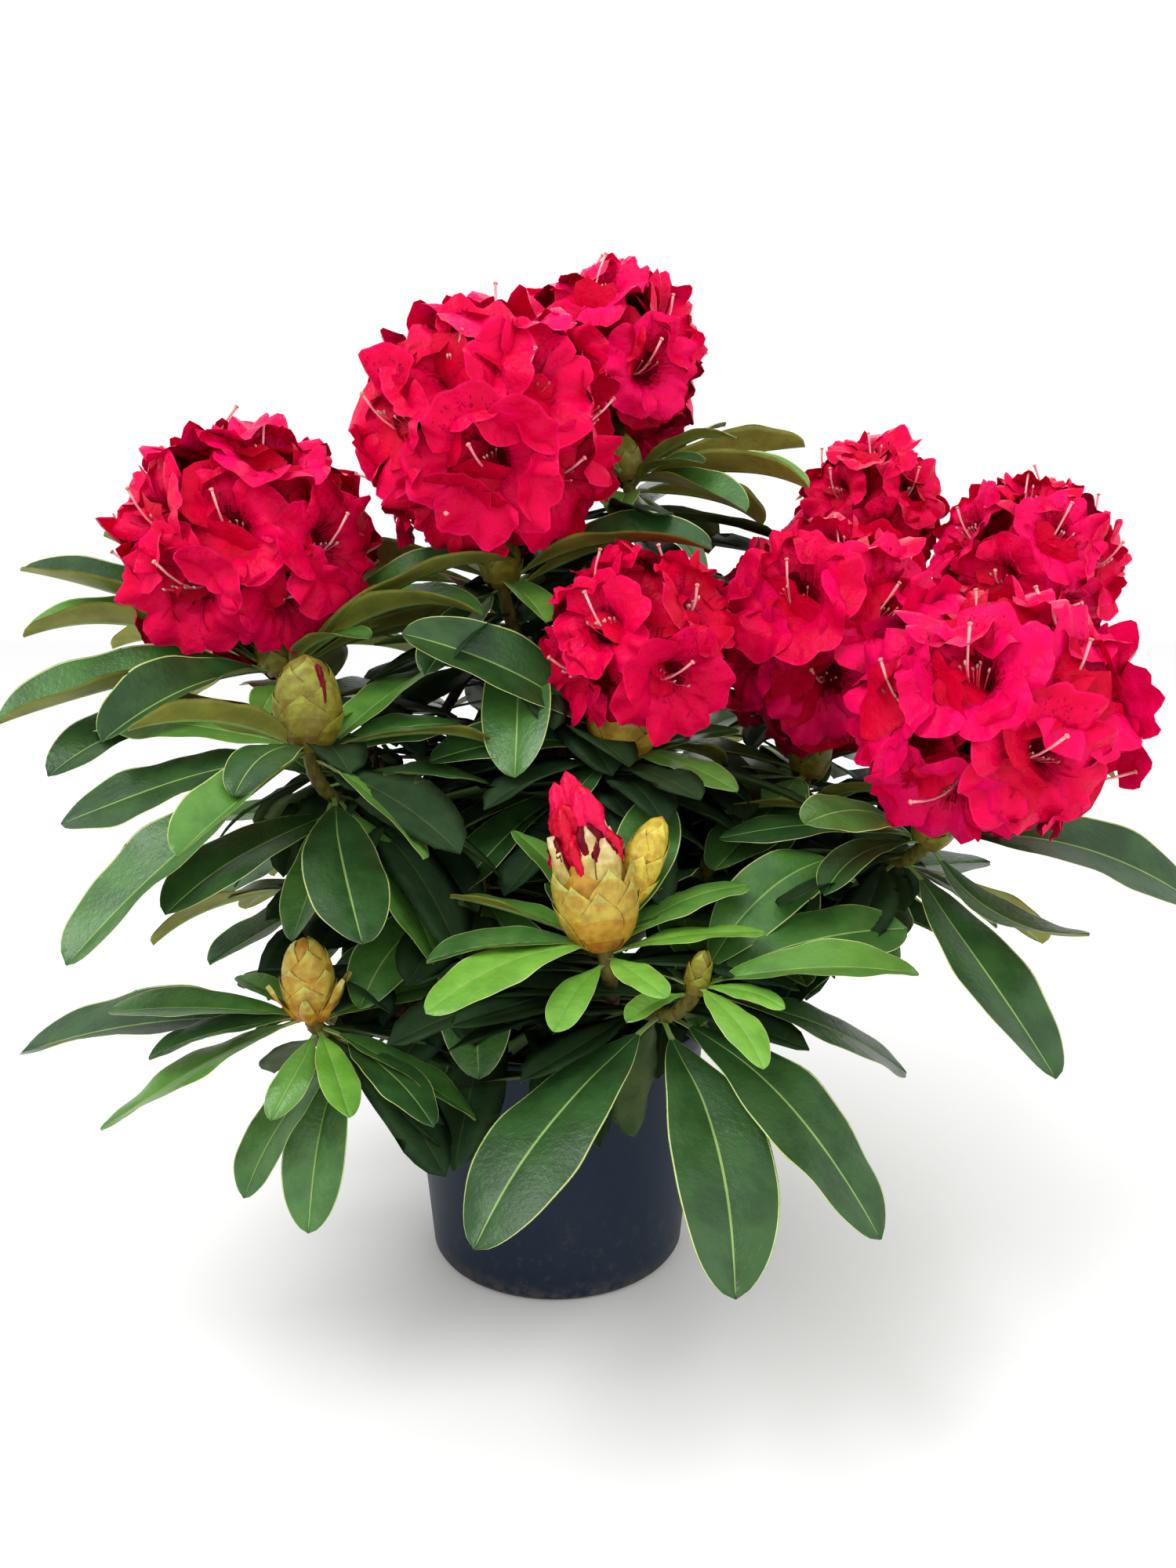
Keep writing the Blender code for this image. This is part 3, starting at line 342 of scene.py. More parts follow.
@dataclass
class Growth:
    """The growing rule: paths of limbs and stems, and the leaves that the frame kept."""

    nodes: dict[str, bpy.types.Object]
    reach: float = 0.00006
    boughs: dict[str, list[Vector]] = field(init=False)
    stems: dict[str, list[Vector]] = field(init=False)

    def __post_init__(self) -> None:
        """Work out every path."""
        self.boughs = {limb.name: self.bough_points(limb, LIMB_SEGMENTS) for limb in BOUGHS}
        self.stems = {shoot.name: self.stem_points(shoot, STEM_SEGMENTS) for shoot in SHOOTS}

    @staticmethod
    def bough_points(limb: Limb, segments: int) -> list[Vector]:
        """Points of a bough, which bends through its middle point.

        Args:
            limb: The bough's sizes.
            segments: How many steps to take.

        Returns:
            Points from the trunk to the bough's tip.
        """
        lean = Vector((*TRUNK_LEAN, 0.0)) * (limb.height / TRUNK_HEIGHT)
        start = lean + Vector((0.0, 0.0, MIX_TOP + limb.height))
        via, tip = Vector(limb.via), Vector(limb.tip)
        bend = via * 2 - (start + tip) / 2
        steps = [i / segments for i in range(segments + 1)]
        return [start * (1 - t) ** 2 + bend * 2 * t * (1 - t) + tip * t * t for t in steps]

    def stem_points(self, shoot: Shoot, segments: int) -> list[Vector]:
        """Points of a branchlet from its bough to its whorl.

        Args:
            shoot: The shoot.
            segments: How many steps to take.

        Returns:
            Points from the bough to the whorl.
        """
        start, step = along_path(self.boughs[shoot.bough], shoot.along)
        whorl = Vector(shoot.whorl)
        handle = (whorl - start).length * STEM_HANDLE
        outward = (step.normalized() + (whorl - start).normalized()).normalized()
        leave = start + outward * handle
        arrive = whorl - shoot.axis() * handle
        steps = [i / segments for i in range(segments + 1)]
        return [start * (1 - t) ** 3 + leave * 3 * (1 - t) ** 2 * t
                + arrive * 3 * (1 - t) * t ** 2 + whorl * t ** 3 for t in steps]

    @staticmethod
    def leaf_root(path: Sequence[Vector], tier: int, index: int) -> Vector:
        """Where a leaf stands on the stem.

        Args:
            path: Points of the stem.
            tier: Whorl below the top one.
            index: How many leaves stand above it in that whorl.

        Returns:
            The place of its root.
        """
        distance = TIER_SPACING * tier + WHORL_STEP * index
        for upper, lower in zip(path[:0:-1], path[-2::-1]):
            step = lower - upper
            if distance <= step.length:
                return upper + step.normalized() * distance
            distance -= step.length
        return path[0]

    @staticmethod
    def rule_leaves(shoot: Shoot, chance: random.Random) -> list[Leaf]:
        """Leaves that fill a whorl at the golden angle between those set by hand.

        Args:
            shoot: The shoot.
            chance: Its seeded source of chance.

        Returns:
            The added leaves.
        """
        taken = [leaf.azimuth for leaf in shoot.leaves]
        leaves = []
        for index in range(4 * shoot.fill):
            if len(leaves) == shoot.fill:
                break
            stray = chance.uniform(-AZIMUTH_SPREAD, AZIMUTH_SPREAD)
            azimuth = (FIRST_AZIMUTH + GOLDEN_ANGLE * index + stray) % 360
            rise = shoot.fill_rise + chance.uniform(-RISE_SPREAD, RISE_SPREAD)
            rise += RISE_STEP * (index % 3)
            length = shoot.fill_length * chance.uniform(*LENGTH_RANGE)
            gaps = [abs((azimuth - other + 180) % 360 - 180) for other in taken]
            if min(gaps, default=360) > LEAST_SPACE:
                tier = 1 if index % 3 == 2 else 0
                leaves.append(Leaf(azimuth, rise - TIER_FALL * tier, length, tier, FILL_DROOP,
                                   stations=FILL_STATIONS))
        return leaves

    @staticmethod
    def leaf_corners(root: Vector, leaf: Leaf) -> list[Vector]:
        """Corners of the plain blade that stands in the solid.

        Args:
            root: The leaf's root.
            leaf: The leaf.

        Returns:
            Upper corners of its stations, and its tip.
        """
        azimuth = math.radians(leaf.azimuth)
        flat = Vector((math.cos(azimuth), math.sin(azimuth), 0.0))
        across = Vector((math.sin(azimuth), -math.cos(azimuth), 0.0))
        place, corners = Vector(root), []
        reached = 0.0
        for share, width in ((PETIOLE_END, 0.0), *leaf.stations, (1.0, 0.0)):
            pitch = math.radians(leaf.rise + leaf.droop * (0.5 - (share + reached) / 2))
            along = flat * math.cos(pitch) + Vector((0, 0, math.sin(pitch)))
            place = place + along * (leaf.length * (share - reached))
            reached = share
            if width:
                side = Matrix.Rotation(math.radians(leaf.roll), 3, along) @ across
                top = place + side.cross(along).normalized() * (LEAF_THICKNESS / 3)
                half = LEAF_HALF_WIDTH * leaf.length * width
                corners += [top - side * half, top + side * half]
        return corners + [place]

    def standing_leaf(self, skin: BVHTree, root: Vector, leaf: Leaf) -> Leaf | None:
        """Find how a leaf of the rule stands in the solid.

        Args:
            skin: Surface of the shoot's solid.
            root: The leaf's root.
            leaf: The leaf as the rule sets it.

        Returns:
            The leaf as it was turned to stand clear, or None if it was skipped.
        """
        for turn, lift in NUDGES:
            tried = replace(leaf, azimuth=leaf.azimuth + turn, rise=leaf.rise + lift)
            corners = self.leaf_corners(root, tried)
            hits = [skin.find_nearest(corner, self.reach)[0] for corner in corners]
            if sum(hit is not None for hit in hits) * 2 > len(corners):
                return tried
        return None

    def leaves(self, number: int, shoot: Shoot) -> list[tuple[Vector, Leaf]]:
        """Every leaf of a shoot that stands in its solid.

        Args:
            number: The shoot's place in the table, which seeds its chance.
            shoot: The shoot.

        Returns:
            Roots and leaves.
        """
        mesh = self.nodes[shoot.name].data
        points = [vert.co for vert in mesh.vertices]
        skin = BVHTree.FromPolygons(points, [tuple(face.vertices) for face in mesh.polygons])
        added = self.rule_leaves(shoot, random.Random(SEED + number))
        standing = []
        for index, leaf in [*enumerate(shoot.leaves), *enumerate(added)]:
            root = self.leaf_root(self.stems[shoot.name], leaf.tier, index)
            found = self.standing_leaf(skin, root, leaf)
            if found:
                standing.append((root, found))
        return standing

    def inner_leaves(self, path: Sequence[Vector], places: Sequence[float],
                     chance: random.Random) -> list[tuple[Vector, Leaf]]:
        """Older leaves that stand lower on a limb, in the shade of the crown.

        Args:
            path: Points of the limb.
            places: Shares of its length where whorls stand.
            chance: Seeded source.

        Returns:
            Roots and leaves that stay within the crown's reach.
        """
        standing = []
        for place in places:
            start = chance.uniform(0.0, 360.0)
            for index in range(OLD_LEAVES):
                root, _ = along_path(path, min(place + OLD_LEAF_STEP * index, 1.0))
                azimuth = (start + GOLDEN_ANGLE * index) % 360
                leaf = Leaf(azimuth, chance.uniform(*OLD_RISES), chance.uniform(*OLD_LENGTHS),
                            1, chance.uniform(*OLD_DROOPS))
                tip = self.leaf_corners(root, leaf)[-1]
                if self.within(tip) and root.z > POT_HEIGHT + ROOT_CLEARANCE:
                    standing.append((root, leaf))
        return standing

    @staticmethod
    def within(tip: Vector) -> bool:
        """Whether a tip stays inside the crown and off the pot.

        Args:
            tip: Where a leaf ends.

        Returns:
            True if it does.
        """
        middle = math.hypot(tip.x - CROWN_CENTRE[0], tip.y - CROWN_CENTRE[1])
        over_pot = middle < POT_RADIUS + ROOT_CLEARANCE
        lowest = POT_HEIGHT + RIM_CLEARANCE if over_pot else LOWEST_TIP
        return middle < INNER_REACH and tip.z > lowest

    def twig_points(self, limb: Limb, place: float, chance: random.Random) -> list[Vector]:
        """Points of a short twig off a bough.

        Args:
            limb: The bough.
            place: Share of its length where the twig leaves it.
            chance: Seeded source.

        Returns:
            Points from the bough outward.
        """
        start, step = along_path(self.boughs[limb.name], place)
        ahead = step.normalized()
        angle = chance.uniform(0.0, math.tau)
        aside = Matrix.Rotation(angle, 3, ahead) @ ahead.orthogonal().normalized()
        length = chance.uniform(*TWIG_LENGTHS)
        bend = ahead * 0.3 + aside * 0.9
        end = bend + Vector((0.0, 0.0, 0.7))
        steps = [i / TWIG_SEGMENTS for i in range(TWIG_SEGMENTS + 1)]
        return [start + bend.normalized() * length * t * (1 - 0.5 * t)
                + end.normalized() * length * 0.5 * t * t for t in steps]

    @staticmethod
    def floret_axes(shoot: Shoot, count: int) -> list[Vector]:
        """Directions of a truss's florets, even over the ball above its stem.

        Args:
            shoot: The shoot.
            count: How many florets.

        Returns:
            Unit vectors.
        """
        turn = (Vector(shoot.head) - Vector(shoot.whorl)).to_track_quat("Z", "Y")
        directions = []
        for index in range(count):
            height = 1.0 - (1.0 - LOWEST_FLORET) * (index + FIRST_FLORET) / count
            angle = math.radians(GOLDEN_ANGLE) * index
            wide = math.sqrt(1.0 - height * height)
            directions.append(turn @ Vector((wide * math.cos(angle), wide * math.sin(angle),
                                             height)))
        return directions




class Value:
    """A number socket that takes part in Python sums."""

    def __init__(self, graph: "Graph", socket: bpy.types.NodeSocket) -> None:
        """Wrap an output socket of a graph."""
        self.graph = graph
        self.socket = socket

    def _math(self, operation: str, first: "Value | float", second: "Value | float") -> "Value":
        """Add a Math node."""
        out = self.graph.add("ShaderNodeMath", {"operation": operation}, {0: first, 1: second})
        return Value(self.graph, out.outputs[0])

    def __add__(self, other: "Value | float") -> "Value":
        """self + other."""
        return self._math("ADD", self, other)

    __radd__ = __add__

    def __mul__(self, other: "Value | float") -> "Value":
        """self * other."""
        return self._math("MULTIPLY", self, other)

    __rmul__ = __mul__

    def __sub__(self, other: "Value | float") -> "Value":
        """self - other."""
        return self._math("SUBTRACT", self, other)

    def __rsub__(self, other: float) -> "Value":
        """other - self."""
        return self._math("SUBTRACT", other, self)

    def band(self, low: float, high: float) -> "Value":
        """A smooth step from 0 at low to 1 at high."""
        node = self.graph.add("ShaderNodeMapRange", {"interpolation_type": "SMOOTHSTEP"},
                              {"Value": self, "From Min": low, "From Max": high})
        return Value(self.graph, node.outputs["Result"])


class Graph:
    """The node tree of one material."""

    def __init__(self, name: str) -> None:
        """Start a material with a Principled shader.

        Args:
            name: The material's name.
        """
        self.material = bpy.data.materials.new(name)
        self.material.use_nodes = True
        self.tree = self.material.node_tree
        self.shader = self.tree.nodes["Principled BSDF"]

    def add(self, kind: str, settings: dict | None = None,
            inputs: dict | None = None) -> bpy.types.Node:
        """Add a node.

        Args:
            kind: The node's type.
            settings: Attributes that are set first.
            inputs: Values or links of its sockets.

        Returns:
            The new node.
        """
        node = self.tree.nodes.new(kind)
        for name, value in (settings or {}).items():
            setattr(node, name, value)
        for name, value in (inputs or {}).items():
            self.feed(node.inputs[name], value)
        return node

    def feed(self, socket: bpy.types.NodeSocket, value: object) -> None:
        """Link or set a socket.

        Args:
            socket: The input.
            value: A Value, an output socket, a number, a colour or a vector.
        """
        if isinstance(value, Value):
            self.tree.links.new(value.socket, socket)
        elif isinstance(value, bpy.types.NodeSocket):
            self.tree.links.new(value, socket)
        else:
            socket.default_value = (*value, 1.0) if socket.type == "RGBA" else value

    def place(self) -> bpy.types.NodeSocket:
        """Object coordinates, which stay with the plant."""
        return self.add("ShaderNodeTexCoord").outputs["Object"]

    def noise(self, scale: float, detail: float = 4.0, rough: float = 0.55,
              stretch: Triple = (1.0, 1.0, 1.0)) -> Value:
        """Cloudy noise.

        Args:
            scale: Features to the metre.
            detail: Octaves.
            rough: Strength of the finer octaves.
            stretch: Scale along each axis.

        Returns:
            Noise round 0.5.
        """
        spot = self.add("ShaderNodeMapping", None, {"Vector": self.place(), "Scale": stretch})
        node = self.add("ShaderNodeTexNoise", None,
                        {"Vector": spot.outputs["Vector"], "Scale": scale, "Detail": detail,
                         "Roughness": rough})
        return Value(self, node.outputs["Fac"])

    def spots(self, scale: float) -> Value:
        """Distance to the nearest of scattered points, for pits and grains."""
        node = self.add("ShaderNodeTexVoronoi", None, {"Vector": self.place(), "Scale": scale})
        return Value(self, node.outputs["Distance"])

    def mix(self, share: Value | float, first: object, second: object) -> bpy.types.NodeSocket:
        """Mix two colours or colour sockets, by the share of the second."""
        node = self.add("ShaderNodeMix", {"data_type": "RGBA"}, {0: share, 6: first, 7: second})
        return node.outputs[2]

    def relief(self, height: Value, depth: float) -> None:
        """Feed the shader's normal from a height, with a step of 1 worth depth in metres."""
        bump = self.add("ShaderNodeBump", None,
                        {"Strength": 1.0, "Distance": depth, "Height": height})
        self.feed(self.shader.inputs["Normal"], bump.outputs["Normal"])

    def finish(self, **inputs: object) -> bpy.types.Material:
        """Set the shader's sockets and give the material.

        Args:
            **inputs: Values or links by the socket's name, with _ for a space.

        Returns:
            The material.
        """
        for name, value in inputs.items():
            self.feed(self.shader.inputs[name.replace("_", " ")], value)
        return self.material


@dataclass(frozen=True)
class TissueFinish:
    """Living tissue: leaf, petal, filament or scale, with a faint mottle and a soft gloss."""

    name: str
    colour: Colour
    shade: Colour
    roughness: float = 0.42
    gloss: float = 0.5
    glow: float = 0.0
    mottle: float = 60.0
    grain: float = 900.0
    grain_depth: float = 0.00012
    crinkle: float = 240.0
    crinkle_depth: float = 0.00030

    def build(self) -> bpy.types.Material:
        """Make the material.

        Returns:
            The material.
        """
        graph = Graph(self.name)
        cloud = graph.noise(self.mottle, 3.0)
        fine = graph.noise(self.grain, 2.0)
        folds = graph.noise(self.crinkle, 3.0)
        graph.relief(folds + fine * (self.grain_depth / self.crinkle_depth),
                     self.crinkle_depth)
        colour = graph.mix(cloud.band(0.34, 0.68), self.colour, self.shade)
        material = graph.finish(Base_Color=colour, Specular_IOR_Level=self.gloss,
                                Roughness=fine * 0.16 + (self.roughness - 0.08))
        if self.glow:
            graph.finish(Subsurface_Weight=self.glow, Subsurface_Scale=0.004,
                         Subsurface_Radius=(1.0, 0.25, 0.25))
        return material


@dataclass(frozen=True)
class BarkFinish:
    """Thin fissured bark in long flakes."""

    name: str
    colour: Colour
    crack: Colour
    lichen: Colour
    roughness: float = 0.85

    def build(self) -> bpy.types.Material:
        """Make the material.

        Returns:
            The material.
        """
        graph = Graph(self.name)
        flakes = graph.noise(260.0, 6.0, 0.62, (1.0, 1.0, 0.28))
        patches = graph.noise(45.0, 3.0)
        base = graph.mix(flakes.band(0.38, 0.62), self.crack, self.colour)
        colour = graph.mix(patches.band(0.56, 0.74) * 0.6, base, self.lichen)
        graph.relief(flakes + graph.spots(900.0) * 0.25, 0.0009)
        return graph.finish(Base_Color=colour, Roughness=self.roughness - flakes * 0.15,
                            Specular_IOR_Level=0.18)


@dataclass(frozen=True)
class PotFinish:
    """Moulded black nursery plastic, scuffed, with dried soil at the foot and splashed low on the
    wall.
    """

    name: str
    colour: Colour
    scuff: Colour
    soil: Colour

    def build(self) -> bpy.types.Material:
        """Make the material.

        Returns:
            The material.
        """
        graph = Graph(self.name)
        height = graph.add("ShaderNodeSeparateXYZ", None, {"Vector": graph.place()})
        level = Value(graph, height.outputs["Z"])
        streaks = graph.noise(34.0, 5.0, 0.6, (1.0, 1.0, 0.35))
        dust = graph.noise(150.0, 6.0, 0.7)
        fine = graph.noise(1400.0, 2.0)
        base = graph.mix(streaks.band(0.42, 0.75) * 0.55, self.colour, self.scuff)
        foot = (1.0 - (level + dust * 0.018).band(0.007, 0.024)) * dust.band(0.40, 0.58)
        splash = (1.0 - (level - streaks * 0.05).band(-0.02, 0.06)) * dust.band(0.52, 0.66)
        soiled = graph.mix(splash * 0.14, base, self.soil)
        colour = graph.mix(foot * 0.60, soiled, self.soil)
        graph.relief(fine * 0.4 + dust * 0.5, 0.0003)
        return graph.finish(Base_Color=colour, Specular_IOR_Level=0.14,
                            Roughness=streaks * 0.18 + foot * 0.3 + 0.34)


@dataclass(frozen=True)
class SoilFinish:
    """Damp peat and bark mix."""

    name: str
    colour: Colour
    crumb: Colour

    def build(self) -> bpy.types.Material:
        """Make the material.

        Returns:
            The material.
        """
        graph = Graph(self.name)
        cloud = graph.noise(420.0, 6.0, 0.7)
        grains = graph.spots(700.0)
        colour = graph.mix(cloud.band(0.45, 0.70), self.colour, self.crumb)
        graph.relief(cloud + grains * 0.6, 0.0016)
        return graph.finish(Base_Color=colour, Roughness=0.98 - cloud * 0.1,
                            Specular_IOR_Level=0.25)


@dataclass(frozen=True)
class FloorFinish:
    """A plain pale floor."""

    name: str
    colour: Colour

    def build(self) -> bpy.types.Material:
        """Make the material.

        Returns:
            The material.
        """
        graph = Graph(self.name)
        cloud = graph.noise(3.0, 2.0)
        shade = tuple(part * 0.985 for part in self.colour)
        return graph.finish(Base_Color=graph.mix(cloud, self.colour, shade), Roughness=0.9,
                            Specular_IOR_Level=0.1)


def grid_faces(rows: int, columns: int, closed: bool = False) -> np.ndarray:
    """Quads of a grid of points that runs row by row.

    Args:
        rows: Rows of points.
        columns: Points in a row.
        closed: Whether the last column joins the first.

    Returns:
        Point numbers, four to a face.
    """
    across = columns if closed else columns - 1
    row, column = np.meshgrid(np.arange(rows - 1), np.arange(across), indexing="ij")
    first = row * columns + column
    second = row * columns + (column + 1) % columns
    return np.stack([first, second, second + columns, first + columns], -1).reshape(-1, 4)


def smooth(values: np.ndarray | float, low: float, high: float) -> np.ndarray:
    """A smooth step from 0 at low to 1 at high, read at each value."""
    share = np.clip((np.asarray(values, float) - low) / (high - low), 0.0, 1.0)
    return share * share * (3.0 - 2.0 * share)


@dataclass
class Heap:
    """Many small shapes joined in one piece of one kind, with a finish for each slot."""

    name: str
    finishes: Sequence
    points: list[np.ndarray] = field(default_factory=list)
    faces: list[np.ndarray] = field(default_factory=list)
    slots: list[np.ndarray] = field(default_factory=list)
    slot_of: dict[str, int] = field(default_factory=dict)
    count: int = 0

    def __post_init__(self) -> None:
        """Number the finishes by name."""
        self.slot_of = {finish.name: index for index, finish in enumerate(self.finishes)}

    def add(self, points: np.ndarray, faces: np.ndarray, slots: np.ndarray | int) -> None:
        """Add a shape.

        Args:
            points: Its points.
            faces: Point numbers, four to a face.
            slots: A slot for all of its faces, or for each.
        """
        points = np.asarray(points, float).reshape(-1, 3)
        self.points.append(points)
        self.faces.append(np.asarray(faces, int) + self.count)
        self.slots.append(np.broadcast_to(np.asarray(slots, int), (len(faces),)))
        self.count += len(points)

    def add_tube(self, path: np.ndarray, radii: np.ndarray, sides: int,
                 slots: np.ndarray | int, relief: np.ndarray | None = None) -> None:
        """Add a tube that is closed at its ends.

        Args:
            path: Its middle line.
            radii: Its radius at each point of the line.
            sides: How many sides it has.
            slots: A slot for all of it, or for each stretch of its path.
            relief: Share of the radius at each point of each ring.
        """
        along = np.gradient(path, axis=0)
        along /= np.maximum(np.linalg.norm(along, axis=1, keepdims=True), 1e-9)
        side = np.cross(along, np.eye(3)[np.argmin(np.abs(along.mean(axis=0)))])
        side /= np.linalg.norm(side, axis=1, keepdims=True)
        angles = np.linspace(0.0, math.tau, sides, endpoint=False)[None, :, None]
        spread = np.asarray(radii, float)[:, None] * (1.0 if relief is None else relief)
        spread = np.broadcast_to(spread, (len(path), sides))[:, :, None]
        spokes = (side[:, None, :] * np.cos(angles)
                  + np.cross(along, side)[:, None, :] * np.sin(angles))
        rings = path[:, None, :] + spokes * spread
        caps = np.repeat(path[[0, -1]][:, None, :], sides, axis=1)
        rings = np.concatenate([caps[:1], rings, caps[1:]])
        faces = grid_faces(len(rings), sides, True)
        if np.ndim(slots):
            slots = np.repeat(np.concatenate([slots[:1], slots, slots[-1:]]), sides)
        self.add(rings, faces, slots)

    def triangles(self) -> int:
        """How many triangles the heap has."""
        return 2 * sum(len(faces) for faces in self.faces)

    def build(self) -> bpy.types.Object:
        """Join the shapes in one object with its materials.

        Returns:
            The object.
        """
        points = np.concatenate(self.points)
        faces = np.concatenate(self.faces)
        slots = np.concatenate(self.slots)
        mesh = bpy.data.meshes.new(self.name)
        mesh.from_pydata(points, [], faces.tolist())
        mesh.polygons.foreach_set("material_index", slots.astype(np.int32))
        mesh.polygons.foreach_set("use_smooth", np.ones(len(faces), bool))
        mesh.validate()
        for finish in self.finishes:
            mesh.materials.append(material_of(finish))
        item = bpy.data.objects.new(self.name, mesh)
        bpy.context.scene.collection.objects.link(item)
        return item


MATERIALS: dict[str, bpy.types.Material] = {}


def material_of(finish: object) -> bpy.types.Material:
    """The material of a finish, made once.

    Args:
        finish: The finish.

    Returns:
        Its material.
    """
    if finish.name not in MATERIALS:
        MATERIALS[finish.name] = finish.build()
    return MATERIALS[finish.name]


def as_array(points: Iterable[Vector]) -> np.ndarray:
    """Vectors as rows of numbers."""
    return np.array([tuple(point) for point in points], float)


def frame_of(axis: Vector, up: Vector) -> np.ndarray:
    """Rows of a turned frame: its x nearest to up, its y, and its z along an axis.

    Args:
        axis: The frame's z.
        up: What its x leans to.

    Returns:
        A 3 by 3 array.
    """
    along = axis.normalized()
    lean = up - along * up.dot(along)
    if lean.length < 0.05:
        lean = along.orthogonal()
    lean.normalize()
    return as_array((lean, along.cross(lean), along))


def leaf_finish(name: str, colour: Colour, shade: Colour, roughness: float,
                gloss: float) -> TissueFinish:
    """Leathery blade, finely quilted between its veins."""
    return TissueFinish(name, colour, shade, roughness, gloss, mottle=48.0, grain=1000.0,
                        grain_depth=0.00012, crinkle=330.0, crinkle_depth=0.00044)


def petal_finish(name: str, colour: Colour, shade: Colour, gloss: float = 0.05) -> TissueFinish:
    """Thin crepe-like petal."""
    return TissueFinish(name, colour, shade, 0.31, gloss, glow=0.24, mottle=90.0, grain=1200.0,
                        grain_depth=0.00016, crinkle=180.0, crinkle_depth=0.00150)


def scale_finish(name: str, colour: Colour) -> TissueFinish:
    """Papery bud scale, blotched with a browner shade."""
    shade = (colour[0] * 0.72, colour[1] * 0.58, colour[2] * 0.50)
    return TissueFinish(name, colour, shade, 0.44, 0.28, mottle=170.0)


def scale_finishes(name: str, foot: Colour, middle: Colour, tip: Colour) -> list[TissueFinish]:
    """Finishes that fade along a bud scale.

    Args:
        name: Their common name.
        foot: Colour at its foot.
        middle: Colour half way.
        tip: Colour at its tip.

    Returns:
        One finish for each step of the fade.
    """
    fades = []
    for step in range(FADE_STEPS):
        share = 2.0 * step / (FADE_STEPS - 1)
        low, high = (foot, middle) if share < 1.0 else (middle, tip)
        part = share % 1.0 if share < 2.0 else 1.0
        mixed = tuple(a + (b - a) * part for a, b in zip(low, high))
        fades.append(scale_finish(f"scale_{name}_{step}", mixed))
    return fades


LEAF_FINISHES = (
    leaf_finish("leaf_young", (0.165, 0.400, 0.044), (0.110, 0.300, 0.030), 0.33, 0.40),
    leaf_finish("leaf_fresh", (0.102, 0.260, 0.038), (0.066, 0.190, 0.026), 0.33, 0.42),
    leaf_finish("leaf_mature", (0.059, 0.170, 0.031), (0.035, 0.112, 0.020), 0.32, 0.42),
    leaf_finish("leaf_deep", (0.030, 0.090, 0.021), (0.017, 0.056, 0.013), 0.33, 0.32),
    leaf_finish("leaf_shade", (0.022, 0.050, 0.018), (0.013, 0.031, 0.012), 0.55, 0.06),
    leaf_finish("leaf_under", (0.230, 0.240, 0.035), (0.160, 0.160, 0.024), 0.62, 0.25),
    leaf_finish("leaf_midrib", (0.250, 0.390, 0.105), (0.190, 0.310, 0.075), 0.45, 0.30),
    leaf_finish("leaf_margin", (0.560, 0.660, 0.250), (0.450, 0.550, 0.170), 0.50, 0.30),
    leaf_finish("leaf_shade_rib", (0.050, 0.080, 0.022), (0.030, 0.055, 0.016), 0.55, 0.06),
)
PETAL_FINISHES = (
    petal_finish("petal", (0.730, 0.0012, 0.068), (0.630, 0.0006, 0.040)),
    # The rose red is partly painted light on florets that face up.
    petal_finish("petal_rose_and_painted_light", (0.800, 0.0024, 0.108), (0.700, 0.0012, 0.070)),
    # The crimson red is painted shade on lower and inner florets.
    petal_finish("petal_crimson_and_shade", (0.620, 0.0008, 0.036), (0.520, 0.0005, 0.022)),
    petal_finish("petal_edge", (0.800, 0.0040, 0.098), (0.720, 0.0020, 0.070)),
    # The deep and throat reds are partly the funnel's own darker colour and partly painted shade.
    petal_finish("petal_deep_and_shade", (0.570, 0.0006, 0.046), (0.460, 0.0004, 0.030), 0.05),
    petal_finish("petal_throat_and_shade", (0.230, 0.0004, 0.016), (0.120, 0.0002, 0.008), 0.04),
    petal_finish("petal_freckle", (0.130, 0.0003, 0.010), (0.080, 0.0002, 0.006), 0.04),
)
STAMEN_FINISHES = (
    TissueFinish("filament", (0.760, 0.060, 0.130), (0.660, 0.030, 0.090), 0.45, 0.2),
    TissueFinish("anther", (0.700, 0.420, 0.360), (0.300, 0.100, 0.080), 0.60, 0.2),
    TissueFinish("style", (0.900, 0.420, 0.430), (0.820, 0.240, 0.280), 0.40, 0.3),
    TissueFinish("stigma", (0.800, 0.320, 0.260), (0.640, 0.180, 0.140), 0.40, 0.3),
    TissueFinish("pedicel", (0.300, 0.120, 0.030), (0.180, 0.150, 0.030), 0.50, 0.3),
)
BUD_FINISHES = (
    *scale_finishes("golden", (0.420, 0.190, 0.012), (0.570, 0.420, 0.034),
                    (0.640, 0.600, 0.090)),
    *scale_finishes("ripe", (0.360, 0.140, 0.010), (0.500, 0.310, 0.026),
                    (0.480, 0.470, 0.105)),
    *scale_finishes("pale", (0.450, 0.380, 0.060), (0.560, 0.480, 0.150),
                    (0.680, 0.570, 0.330)),
    *scale_finishes("olive", (0.150, 0.100, 0.012), (0.205, 0.200, 0.017),
                    (0.280, 0.300, 0.034)),
    # The dark scale edge is partly a brown margin and partly a painted shadow line where the
    # scales overlap.
    scale_finish("scale_edge_and_shadow", (0.160, 0.082, 0.016)),
    # The bright bud petal red is partly painted light on the top petals.
    petal_finish("bud_petal_top_lit", (0.800, 0.0040, 0.080), (0.700, 0.0015, 0.048), 0.16),
    petal_finish("bud_petal", (0.640, 0.0015, 0.034), (0.500, 0.001, 0.018), 0.16),
    # The near-black bud petal red is painted shade on alternate lower petals and in the slit of
    # the split bud.
    petal_finish("bud_petal_shaded", (0.170, 0.0003, 0.009), (0.090, 0.0002, 0.005), 0.10),
)
BARK_FINISHES = (
    BarkFinish("trunk_bark", (0.170, 0.110, 0.070), (0.045, 0.026, 0.016), (0.210, 0.200, 0.130)),
    BarkFinish("bough_bark", (0.150, 0.088, 0.050), (0.050, 0.027, 0.016), (0.160, 0.140, 0.080)),
)
